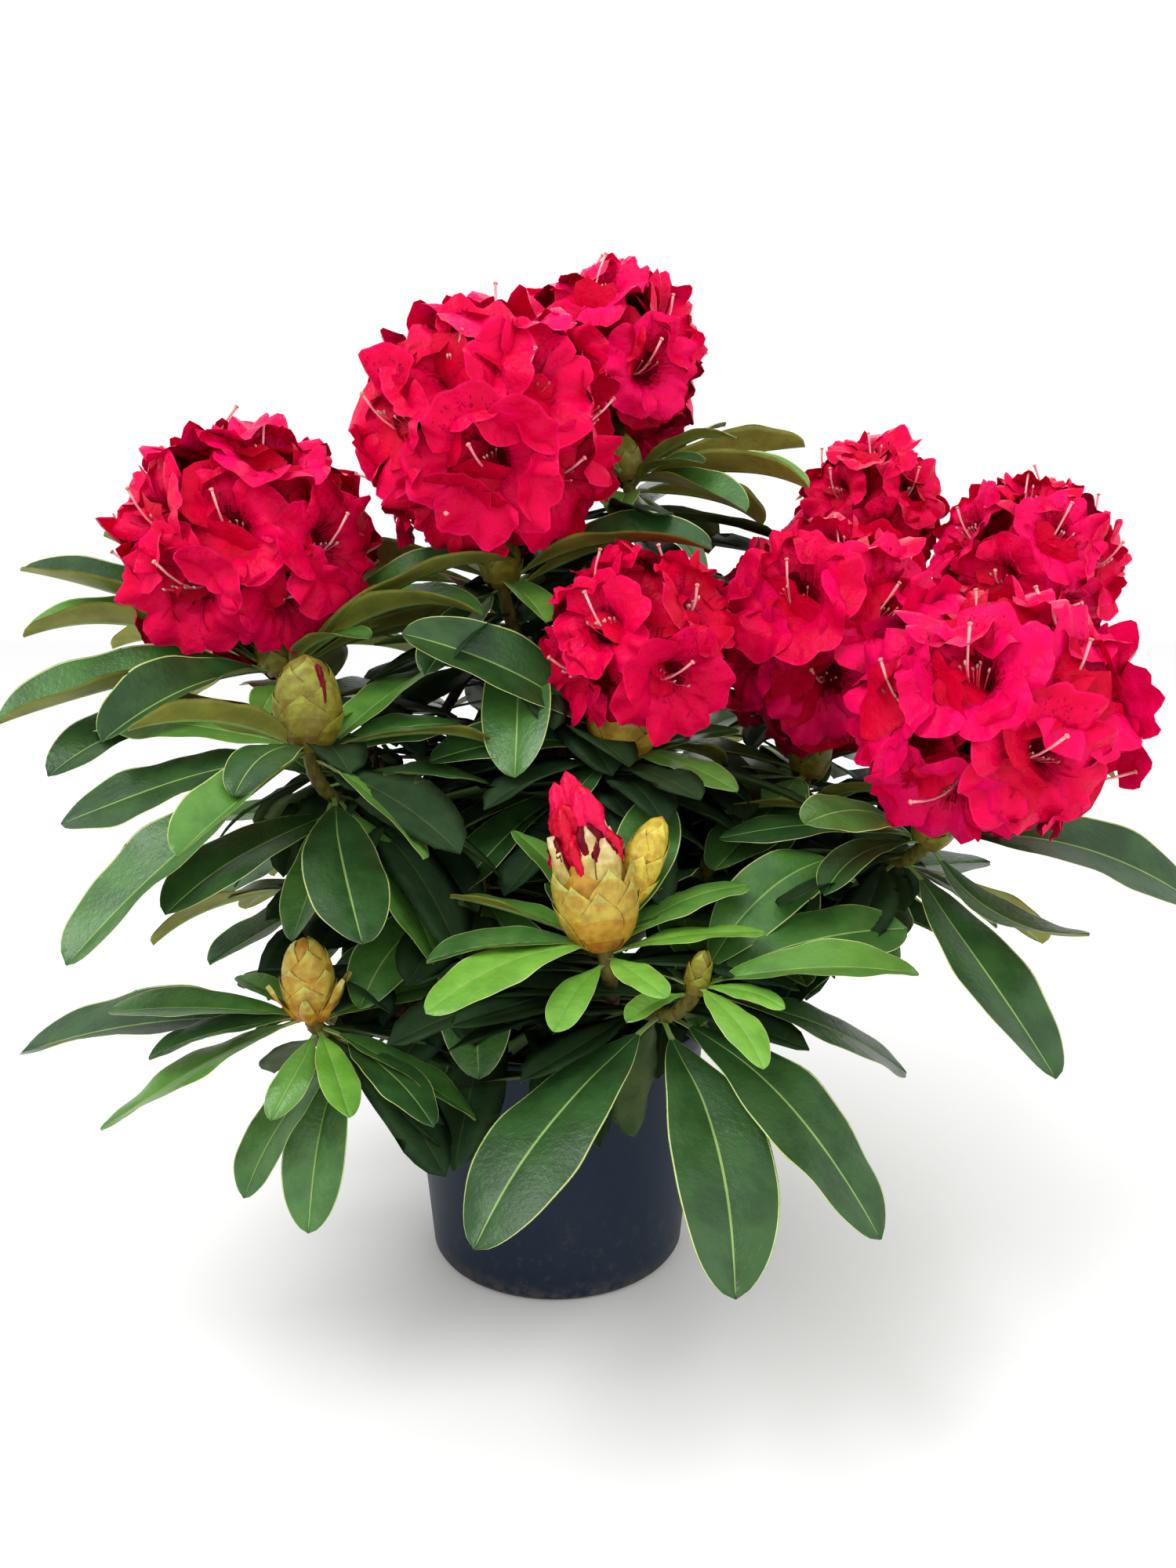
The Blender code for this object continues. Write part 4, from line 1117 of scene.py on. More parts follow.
TWIG_FINISHES = (
    BarkFinish("twig_brown", (0.120, 0.068, 0.036), (0.055, 0.030, 0.017), (0.105, 0.090, 0.040)),
    BarkFinish("twig_olive", (0.105, 0.088, 0.024), (0.060, 0.042, 0.014), (0.105, 0.062, 0.022),
               0.70),
    BarkFinish("twig_green", (0.125, 0.125, 0.016), (0.080, 0.055, 0.010), (0.120, 0.066, 0.018),
               0.60),
)
POT_FINISH = PotFinish("pot_plastic", (0.0080, 0.0165, 0.0320), (0.015, 0.024, 0.040),
                       (0.150, 0.110, 0.075))
SOIL_FINISH = SoilFinish("potting_mix", (0.022, 0.013, 0.008), (0.055, 0.035, 0.022))
CHIP_FINISH = SoilFinish("bark_chip", (0.100, 0.058, 0.032), (0.160, 0.105, 0.062))
FLOOR_FINISH = FloorFinish("pale_floor", (0.93, 0.93, 0.93))
class Tone(Enum):
    """How old and how shaded a leaf is, with the finish of its upper face; the darker tones partly
    paint shade on lower and inner leaves, and the fresh tone partly paints light on upper ones.
    """

    YOUNG = "leaf_young"
    FRESH = "leaf_fresh"
    MATURE = "leaf_mature"
    DEEP = "leaf_deep"
    SHADE = "leaf_shade"


# Tones listed leaf by leaf for some shoots, by the leaf's length; the shade tone of the hanging
# leaf of shoot_front_low is painted shade.
SHOWN_TONES: dict[str, dict[Tone, tuple[float, ...]]] = {
    "shoot_front_bud": {
        Tone.YOUNG: (0.105, 0.085, 0.060), Tone.FRESH: (0.090,), Tone.MATURE: (0.110,)},
    "shoot_front_low": {
        Tone.YOUNG: (0.070, 0.050), Tone.FRESH: (0.115,), Tone.MATURE: (0.120, 0.130),
        Tone.DEEP: (0.140, 0.155, 0.158, 0.160), Tone.SHADE: (0.095,)},
    "shoot_right_front_truss": {Tone.DEEP: (0.155, 0.112, 0.158)},
    "shoot_low_left_bud": {
        Tone.YOUNG: (0.065,), Tone.FRESH: (0.115,), Tone.MATURE: (0.100, 0.105),
        Tone.DEEP: (0.168,)},
    "shoot_left_bud": {
        Tone.FRESH: (0.122, 0.120), Tone.MATURE: (0.165,), Tone.DEEP: (0.085,)},
}


@dataclass
class Blade:
    """One leaf as it is bent: rows of its midrib, and how its halves fold and wave."""

    share: np.ndarray
    cup: float
    curl: float
    twist: float
    wave: float
    phase: float
    bend: float
    half: np.ndarray = field(init=False)
    place: np.ndarray = field(init=False)
    side: np.ndarray = field(init=False)
    up: np.ndarray = field(init=False)

    def lay(self, root: Vector, leaf: Leaf) -> None:
        """Work out the midrib, with the directions across it and up from it.

        Args:
            root: Where the leaf stands on the stem.
            leaf: The leaf.
        """
        share, azimuth = self.share, math.radians(leaf.azimuth)
        flat = np.array([math.cos(azimuth), math.sin(azimuth), 0.0])
        across = np.array([math.sin(azimuth), -math.cos(azimuth), 0.0])
        pitch = np.radians(leaf.rise + leaf.droop * (0.5 - share)
                           - self.curl * smooth(share, 0.55, 1.0))
        along = flat * np.cos(pitch)[:, None] + np.array([0.0, 0.0, 1.0]) * np.sin(pitch)[:, None]
        steps = np.diff(share, prepend=0.0)[:, None] * leaf.length
        middle = (along + np.roll(along, 1, axis=0)) / 2
        middle[0] = along[0]
        bow = np.sin(share * math.pi) * self.bend * leaf.length * smooth(share, 0.0, 0.4)
        self.place = np.array(root) + np.cumsum(middle * steps, axis=0) + across * bow[:, None]
        roll = np.radians(leaf.roll + self.twist * share)[:, None]
        self.side = across * np.cos(roll) - np.cross(across, along) * np.sin(roll)
        self.up = np.cross(self.side, along)


@dataclass
class Foliage:
    """Leathery blades with a pale midrib, a fine pale margin and quilted veins."""

    name: str
    blade: tuple[float, ...] = (-1.0, -0.965, -0.72, -0.46, -0.22, -0.026, 0.0)
    under: tuple[float, ...] = (-1.0, -0.82, -0.46, -0.050, 0.0)
    plain_blade: tuple[float, ...] = (-1.0, -0.50, -0.03, 0.0)
    plain_under: tuple[float, ...] = (-1.0, -0.50, 0.0)
    thickness: float = 0.0007
    edge: float = 0.0002
    veins: float = 11.0
    vein_depth: float = 0.00020
    vein_lean: float = 1.25
    margin_roll: float = 0.0006
    midrib_depth: float = 0.0007
    keel: float = 0.0010
    base_taper: float = 0.90
    tip_taper: float = 0.62
    tip_crowding: float = 1.12
    heap: Heap = field(init=False)

    def __post_init__(self) -> None:
        """Start the heap."""
        self.heap = Heap(self.name, LEAF_FINISHES)

    def width(self, share: np.ndarray) -> np.ndarray:
        """Half width of a blade as a share of its widest.

        Args:
            share: Places along the leaf from 0 to 1.

        Returns:
            The half widths.
        """
        blade = np.clip((share - PETIOLE_END) / (1.0 - PETIOLE_END), 0.0, 1.0)
        bow = blade ** self.base_taper * (1.0 - blade) ** self.tip_taper
        whole = self.base_taper + self.tip_taper
        peak = (self.base_taper / whole) ** self.base_taper
        return bow / (peak * (self.tip_taper / whole) ** self.tip_taper)

    def add_leaf(self, root: Vector, leaf: Leaf, tone: Tone, chance: random.Random,
                 rows: int = 34) -> None:
        """Grow one blade.

        Args:
            root: Where it stands on the stem.
            leaf: The leaf as it stands.
            tone: Its colour.
            chance: Seeded source of its small differences.
            rows: Rows of points along it.
        """
        plain = tone is Tone.SHADE
        high = leaf.tier == 0 and root.z > HIGH_WHORL and leaf.length > LONG_LEAF
        share = 1.0 - (1.0 - np.linspace(0.0, 1.0, rows)) ** self.tip_crowding
        blade = Blade(share, chance.uniform(0.30, 0.80) if high else chance.uniform(-0.05, 0.34),
                      chance.uniform(-8.0, 14.0), chance.uniform(-20.0, 20.0),
                      chance.uniform(0.04, 0.14), chance.uniform(0.0, math.tau),
                      chance.uniform(-0.05, 0.05))
        blade.lay(root, leaf)
        half = LEAF_HALF_WIDTH * leaf.length * self.width(share) / math.hypot(1.0, blade.cup)
        blade.half = np.maximum(half, PETIOLE_HALF_WIDTH * 0.62 * smooth(1.0 - share, 0.0, 0.06))
        blade.half[-1] = self.edge
        top = self.surface(blade, self.plain_blade if plain else self.blade)
        low = self.surface(blade, self.plain_under if plain else self.under)
        low[:, 1:-1] -= blade.up[:, None, :] * self.thickness
        low[:, [1, -2]] -= blade.up[:, None, :] * self.edge
        low[:, low.shape[1] // 2] -= blade.up * self.keel * smooth(1.0 - share, 0, 0.5)[:, None]
        ring = np.concatenate([top, low[:, -2:0:-1]], axis=1)
        self.heap.add(ring, grid_faces(rows, ring.shape[1], True),
                      self.slots(top.shape[1], ring.shape[1], tone, share))

    def surface(self, blade: Blade, lanes: Sequence[float]) -> np.ndarray:
        """Points of one face of a blade.

        Args:
            blade: The blade.
            lanes: Places across its left half, from -1 to 0.

        Returns:
            Points, row by row.
        """
        lane = np.array([*lanes, *(-place for place in lanes[-2::-1])])
        reach = np.abs(lane)
        half, share = blade.half[:, None], blade.share[:, None]
        open_part = smooth(share, PETIOLE_END, PETIOLE_END + 0.16)
        ripple = 0.7 * np.sin(share * 13.0 + blade.phase + np.sign(lane) * 1.3)
        ripple = ripple + 0.2 * np.sin(share * 31.0 - blade.phase * 2.0 + lane * 2.2)
        rows = np.cos(math.tau * (share * self.veins - reach * self.vein_lean))
        quilt = np.abs(rows) ** 0.6 * np.sign(rows) * self.vein_depth
        lift = blade.cup * reach ** 1.3 * half
        lift = lift + blade.wave * ripple * reach ** 2 * half * open_part
        lift = lift + quilt * (reach * (1.0 - reach) * 4.0) * open_part
        lift = lift - self.margin_roll * smooth(reach, 0.80, 1.0) * open_part
        lift = lift - self.midrib_depth * (1.0 - smooth(reach, 0.0, 0.10)) * open_part
        return (blade.place[:, None, :] + blade.side[:, None, :] * (lane * half)[:, :, None]
                + blade.up[:, None, :] * lift[:, :, None])

    def slots(self, columns: int, around: int, tone: Tone, share: np.ndarray) -> np.ndarray:
        """Slots of the faces of a blade.

        Args:
            columns: Points across its top.
            around: Points round a section.
            tone: The leaf's tone.
            share: Places along it.

        Returns:
            A slot for each face.
        """
        slot_of = self.heap.slot_of
        plain = tone is Tone.SHADE
        rib = slot_of["leaf_shade_rib" if plain else "leaf_midrib"]
        lanes = np.full(around, rib if plain else slot_of["leaf_under"])
        lanes[:columns - 1] = slot_of[tone.value]
        if not plain:
            lanes[[0, columns - 2]] = slot_of["leaf_margin"]
            below = columns - 1 + (around - columns + 1) // 2
            lanes[below - 1:below + 1] = rib
        middle = (columns - 1) // 2
        lanes[middle - 1:middle + 1] = rib
        slots = np.tile(lanes, (len(share) - 1, 1))
        slots[share[:-1] < PETIOLE_END * 0.9] = rib
        return slots.reshape(-1)


def tone_of(shoot: Shoot, leaf: Leaf, chance: random.Random) -> Tone:
    """How old a leaf looks, with painted shade on lower-tier and leafy-shoot leaves and partly
    painted light on upper ones.

    Args:
        shoot: Its shoot.
        leaf: The leaf.
        chance: Seeded source.

    Returns:
        Its tone.
    """
    for tone, lengths in SHOWN_TONES.get(shoot.name, {}).items():
        if leaf.length in lengths:
            return tone
    # Lower-tier leaves and those of leafy shoots lean to the dark tones, partly from age and
    # partly as painted shade; only upper leaves may take the fresh tone, which is partly painted
    # light.
    if leaf.tier or shoot.kind is Kind.LEAFY:
        return Tone.DEEP if chance.random() < 0.65 else Tone.MATURE
    return chance.choice((Tone.MATURE, Tone.MATURE, Tone.FRESH, Tone.DEEP))


class Hue(Enum):
    """The red of a floret; the rose red partly stands for painted light on florets that face up,
    and the crimson red for painted shade on lower and inner florets.
    """

    CHERRY = "petal"
    ROSE_AND_LIGHT = "petal_rose_and_painted_light"
    CRIMSON_AND_SHADE = "petal_crimson_and_shade"


@dataclass
class Floret:
    """Where a floret stands in its truss: its foot, its way, its length and its turn."""

    centre: Vector
    axis: Vector
    length: float
    swing: float = 0.0

    def spin(self, points: np.ndarray, step: float = 0.0) -> np.ndarray:
        """Turn points about z by the floret's swing and a further step, in radians."""
        cosine, sine = math.cos(self.swing + step), math.sin(self.swing + step)
        return points @ np.array([[cosine, sine, 0.0], [-sine, cosine, 0.0], [0.0, 0.0, 1.0]])

    def settle(self, points: np.ndarray) -> np.ndarray:
        """Put points for a floret of length 1 along z in place on the truss."""
        turned = frame_of(self.axis, Vector((0.0, 0.0, 1.0)))
        return np.array(self.centre) + (points * self.length) @ turned


@dataclass
class Blossom:
    """Ball trusses of frilled five-lobed funnels with speckled throats and long styles."""

    name: str
    lobes: int = 5
    rows: tuple[float, ...] = (0.0, 0.18, 0.32, 0.42, 0.50, 0.58, 0.66, 0.75, 0.84, 0.92,
                               0.982, 1.0)
    lanes: int = 21
    inner_rows: tuple[float, ...] = (0.0, 0.34, 0.54, 0.72, 0.88, 1.0)
    inner_lanes: int = 9
    inner_share: float = 0.75
    inner_length: float = 0.80
    inner_openness: float = 1.15
    tube_from: float = 0.30
    mouth: float = 0.86
    rim: float = 0.55
    half_angle: float = 37.0
    spread: float = 14.0
    cleft: float = 0.42
    ruffle: float = 0.066
    # Depths down the funnel inside which the deep and throat reds lie, partly the throat's own
    # colour and partly painted shade; on the upper lobe they reach further.
    throat: float = 0.45
    deep: float = 0.56
    upper_throat: float = 0.52
    upper_deep: float = 0.72
    filaments: int = 7
    filament_radius: float = 0.00038
    anther: tuple[tuple[float, float], ...] = ((-0.0010, 0.0004), (0.0, 0.0008),
                                               (0.0010, 0.0004))
    style_radius: float = 0.00090
    stigma: tuple[tuple[float, float], ...] = ((-0.0004, 0.0010), (0.0004, 0.0015),
                                               (0.0010, 0.0009))
    stalk: float = 0.34
    stalk_radii: tuple[float, float] = (0.0014, 0.0012)
    freckles: int = 110
    freckle_from: float = 3.0
    freckle_rows: float = 6.2
    freckle_lift: float = 0.0055
    jitter: float = 0.07
    crowding: float = 0.95
    shortest: float = 0.78
    heap: Heap = field(init=False)
    parts: Heap = field(init=False)

    def __post_init__(self) -> None:
        """Start the heaps."""
        self.heap = Heap(self.name, PETAL_FINISHES)
        self.parts = Heap(self.name.replace("petals", "stamens"), STAMEN_FINISHES)

    def petal(self, chance: random.Random, openness: float, stations: Sequence[float],
              lanes: int) -> np.ndarray:
        """One lobe with its share of the tube, for a floret of length 1 along z.

        Args:
            chance: Seeded source of its frills.
            openness: How far the lobes spread.
            stations: Places along it.
            lanes: Points across it.

        Returns:
            Points, row by row from the tube to the lip.
        """
        rows = np.array(stations)[:, None]
        lane = np.linspace(-1.0, 1.0, lanes)[None, :]
        outer = smooth(rows, 0.45, 1.0)
        notch = 0.10 * np.exp(-(lane / 0.10) ** 2) * chance.uniform(0.2, 1.0)
        scallop = 0.020 * np.sin(lane * chance.uniform(8.0, 11.0) + chance.uniform(0, 6.3))
        cut = self.cleft * np.abs(lane) ** 2.9 + notch + scallop * smooth(rows, 0.8, 1.0)
        depth = np.where(rows > 0.45, 0.45 + (rows - 0.45) * (1.0 - cut), rows)
        rise = self.tube_from + (self.mouth - self.tube_from) * np.sin(depth * math.pi / 2) ** 1.08
        wide = 0.034 + 0.085 * depth + (self.rim * openness - 0.12) * depth ** 2.1
        reflex = chance.uniform(-0.02, 0.13) * smooth(depth, 0.55, 1.0) ** 2
        crest = np.sin(lane * chance.uniform(3.6, 5.4) + chance.uniform(0.0, math.tau))
        for low, high, weight, late in ((6.5, 10.0, 0.75, 0.5), (13.0, 19.0, 0.42, 0.72)):
            swell = np.sin(lane * chance.uniform(low, high) + chance.uniform(0.0, math.tau)
                           + rows * chance.uniform(-3.0, 3.0))
            crest = crest + weight * swell * smooth(rows, late, 1.0)
        frill = self.ruffle * crest * outer ** 1.3 * (0.45 + 0.55 * np.abs(lane) ** 0.7)
        crease = -0.020 * np.exp(-(lane / 0.16) ** 2) * outer
        pleat = np.sin(lane * chance.uniform(8.0, 12.0) + chance.uniform(0.0, math.tau))
        crease = crease + 0.009 * pleat * smooth(rows, 0.36, 0.60)
        tuck = 0.022 * lane * outer
        rise = rise + frill * 0.85 + crease + tuck - reflex
        wide = wide + frill * 0.35 - np.abs(lane) ** 2 * 0.018 * outer
        reach = self.half_angle + self.spread * smooth(depth, 0.45, 0.8)
        angle = np.radians(lane * reach)
        return np.stack([wide * np.cos(angle), wide * np.sin(angle), rise], -1)

    def petal_slots(self, upper: bool, hue: Hue, chance: random.Random) -> np.ndarray:
        """Slots of the faces of a petal, which deepen down the throat along a ragged line: partly
        the throat's own darker red, partly painted shade in the funnel.

        Args:
            upper: Whether it is the speckled upper lobe.
            hue: The floret's red.
            chance: Seeded source.

        Returns:
            A slot for each face.
        """
        slot_of = self.heap.slot_of
        rows = np.array(self.rows)
        middle = (rows[:-1] + rows[1:]) / 2
        stray = [[chance.uniform(-0.07, 0.07) for _ in range(self.lanes - 1)] for _ in middle]
        depth = middle[:, None] + np.array(stray)
        slots = np.full(depth.shape, slot_of[hue.value])
        # Faces further down the funnel take the deeper reds: partly their own colour, partly
        # painted shade.
        slots[depth < (self.upper_deep if upper else self.deep)] = slot_of["petal_deep_and_shade"]
        slots[depth < (self.upper_throat if upper else self.throat)] = slot_of["petal_throat_and_shade"]
        slots[-1] = slot_of["petal_edge"]
        return slots.reshape(-1)

    def add_floret(self, floret: Floret, hue: Hue, chance: random.Random,
                   inner: bool = False) -> None:
        """Grow one floret, with its stamens and style where they show.

        Args:
            floret: Where it stands.
            hue: Its red.
            chance: Seeded source of its small differences.
            inner: Whether it stands deep in the truss, where only its lobes show.
        """
        floret.swing = math.radians(chance.uniform(-24.0, 24.0))
        openness = self.inner_openness if inner else chance.uniform(0.88, 1.08)
        rows, lanes = (self.inner_rows, self.inner_lanes) if inner else (self.rows, self.lanes)
        for lobe in range(self.lobes):
            spun = floret.spin(self.petal(chance, openness, rows, lanes),
                               math.tau * lobe / self.lobes)
            slots = self.heap.slot_of[hue.value] if inner else self.petal_slots(
                lobe == 0, hue, chance)
            self.heap.add(floret.settle(spun), grid_faces(len(rows), lanes), slots)
            if lobe == 0 and not inner:
                self.add_freckles(floret, spun, chance)
        if not inner:
            self.add_stamens(floret, chance)

    def add_freckles(self, floret: Floret, lobe: np.ndarray, chance: random.Random) -> None:
        """Scatter short dark streaks over the throat of the upper lobe.

        Args:
            floret: Where the floret stands.
            lobe: Points of the lobe, before it is placed.
            chance: Seeded source.
        """
        middle, quads = (self.lanes - 1) / 2, []
        for _ in range(self.freckles):
            row = self.freckle_from + self.freckle_rows * chance.random() ** 1.5
            fan = 0.16 + 0.075 * (row - self.freckle_from)
            lane = middle + chance.uniform(-1.0, 1.0) * fan * middle
            long = chance.uniform(0.12, 0.28)
            wide = chance.uniform(0.05, 0.09)
            quads += [self.sample(lobe, row - long, lane), self.sample(lobe, row, lane + wide),
                      self.sample(lobe, row + long, lane), self.sample(lobe, row, lane - wide)]
        points = np.array(quads)
        points[:, 2] += self.freckle_lift
        points[:, :2] *= 0.98
        self.heap.add(floret.settle(points), np.arange(len(points)).reshape(-1, 4),
                      self.heap.slot_of["petal_freckle"])

    @staticmethod
    def sample(grid: np.ndarray, row: float, lane: float) -> np.ndarray:
        """Read a place on a grid of points.

        Args:
            grid: Points, row by row.
            row: Place along the rows.
            lane: Place along the lanes.

        Returns:
            The point there.
        """
        row = min(max(row, 0.0), grid.shape[0] - 1.001)
        lane = min(max(lane, 0.0), grid.shape[1] - 1.001)
        low, left = int(row), int(lane)
        down, over = row - low, lane - left
        first = grid[low, left] * (1 - over) + grid[low, left + 1] * over
        second = grid[low + 1, left] * (1 - over) + grid[low + 1, left + 1] * over
        return first * (1 - down) + second * down

    def add_stamens(self, floret: Floret, chance: random.Random) -> None:
        """Grow the filaments with their anthers, and the style with its knob.

        Args:
            floret: Where the floret stands.
            chance: Seeded source.
        """
        steps = np.linspace(0.0, 1.0, 6)
        slot_of = self.parts.slot_of
        turned = frame_of(floret.axis, Vector((0.0, 0.0, 1.0)))
        for index in range(self.filaments):
            fan = (index / (self.filaments - 1) - 0.5) * 1.7 + chance.uniform(-0.1, 0.1)
            long = chance.uniform(0.36, 0.56)
            line = np.stack([-0.05 * np.sin(steps * math.pi) + 0.10 * steps ** 2.2 - 0.05 * steps,
                             0.17 * fan * steps ** 1.3 * (0.6 + 0.4 * long),
                             self.tube_from + long * steps], -1)
            path = floret.settle(floret.spin(line))
            self.parts.add_tube(path, np.full(6, self.filament_radius), 3, slot_of["filament"])
            self.add_knob(path, turned[index % 2] * 0.5, self.anther, 4, "anther")
        steps = np.linspace(0.0, 1.0, 9)
        long = chance.uniform(0.62, 0.72)
        rise = chance.uniform(0.18, 0.34)
        line = np.stack([-0.06 * np.sin(steps * math.pi) - 0.04 * steps + rise * steps ** 3,
                         0.03 * np.sin(steps * 2.0), self.tube_from + long * steps], -1)
        path = floret.settle(floret.spin(line))
        taper = np.array([1.0, 1.0, 1.0, 0.95, 0.9, 0.85, 0.8, 0.8, 1.0]) * self.style_radius
        self.parts.add_tube(path, taper, 5, slot_of["style"])
        self.add_knob(path, turned[0] * 0.0, self.stigma, 7, "stigma")

    def add_knob(self, path: np.ndarray, aside: np.ndarray,
                 knob: Sequence[tuple[float, float]], sides: int, kind: str) -> None:
        """Swell the end of a filament or a style.

        Args:
            path: Its points.
            aside: How far the knob's way leans off the path's.
            knob: Place along its way and radius, ring by ring.
            sides: Points in a ring.
            kind: Name of its finish.
        """
        tip = path[-1] - path[-2]
        tip /= np.linalg.norm(tip)
        places, radii = np.array(knob).T
        self.parts.add_tube(path[-1] + np.outer(places, aside + tip), radii, sides,
                            self.parts.slot_of[kind])

    def add_truss(self, shoot: Shoot, count: int, crowd: Sequence[Shoot],
                  chance: random.Random) -> None:
        """Grow a truss, with its florets shorter where a neighbour leaves less room.

        Args:
            shoot: The shoot that carries it.
            count: How many florets.
            crowd: The other shoots with trusses.
            chance: Seeded source.
        """
        centre = Vector(shoot.head)
        for axis in Growth.floret_axes(shoot, count):
            stray = Vector([chance.gauss(0, 1) for _ in range(3)]) * self.jitter
            facing = (axis + stray).normalized()
            length = shoot.size * chance.uniform(0.88, 0.99)
            for other in crowd:
                gap = (centre + facing * length * 0.85 - Vector(other.head)).length
                if gap < other.size * self.crowding:
                    length *= max(self.shortest, gap / (other.size * self.crowding))
            # Florets that face up, and those of the listed trusses, may take the rose red, which
            # is partly painted light; the others may take the crimson red, which is painted shade.
            listed_or_top_lit = shoot.name in ROSE_TRUSSES or facing.z > 0.55
            hue = chance.choice((Hue.CHERRY, Hue.ROSE_AND_LIGHT) if listed_or_top_lit else
                                (Hue.CHERRY, Hue.CHERRY, Hue.CRIMSON_AND_SHADE))
            self.add_floret(Floret(centre, facing, length), hue, chance)
            stalk = as_array([centre, centre + facing * length * self.stalk])
            self.parts.add_tube(stalk, np.array(self.stalk_radii), 6,
                                self.parts.slot_of["pedicel"])
        spin = Matrix.Rotation(math.radians(GOLDEN_ANGLE / 2), 3, shoot.axis())
        # Inner florets deep in the truss take the crimson red: painted shade.
        for axis in Growth.floret_axes(shoot, round(count * self.inner_share)):
            length = shoot.size * self.inner_length * chance.uniform(0.92, 1.04)
            self.add_floret(Floret(centre, spin @ axis, length), Hue.CRIMSON_AND_SHADE, chance, True)
@dataclass(frozen=True)
class Core:
    """The middle line of a bud or of a furled petal, and its widest radius."""

    base: Vector
    top: Vector
    radius: float


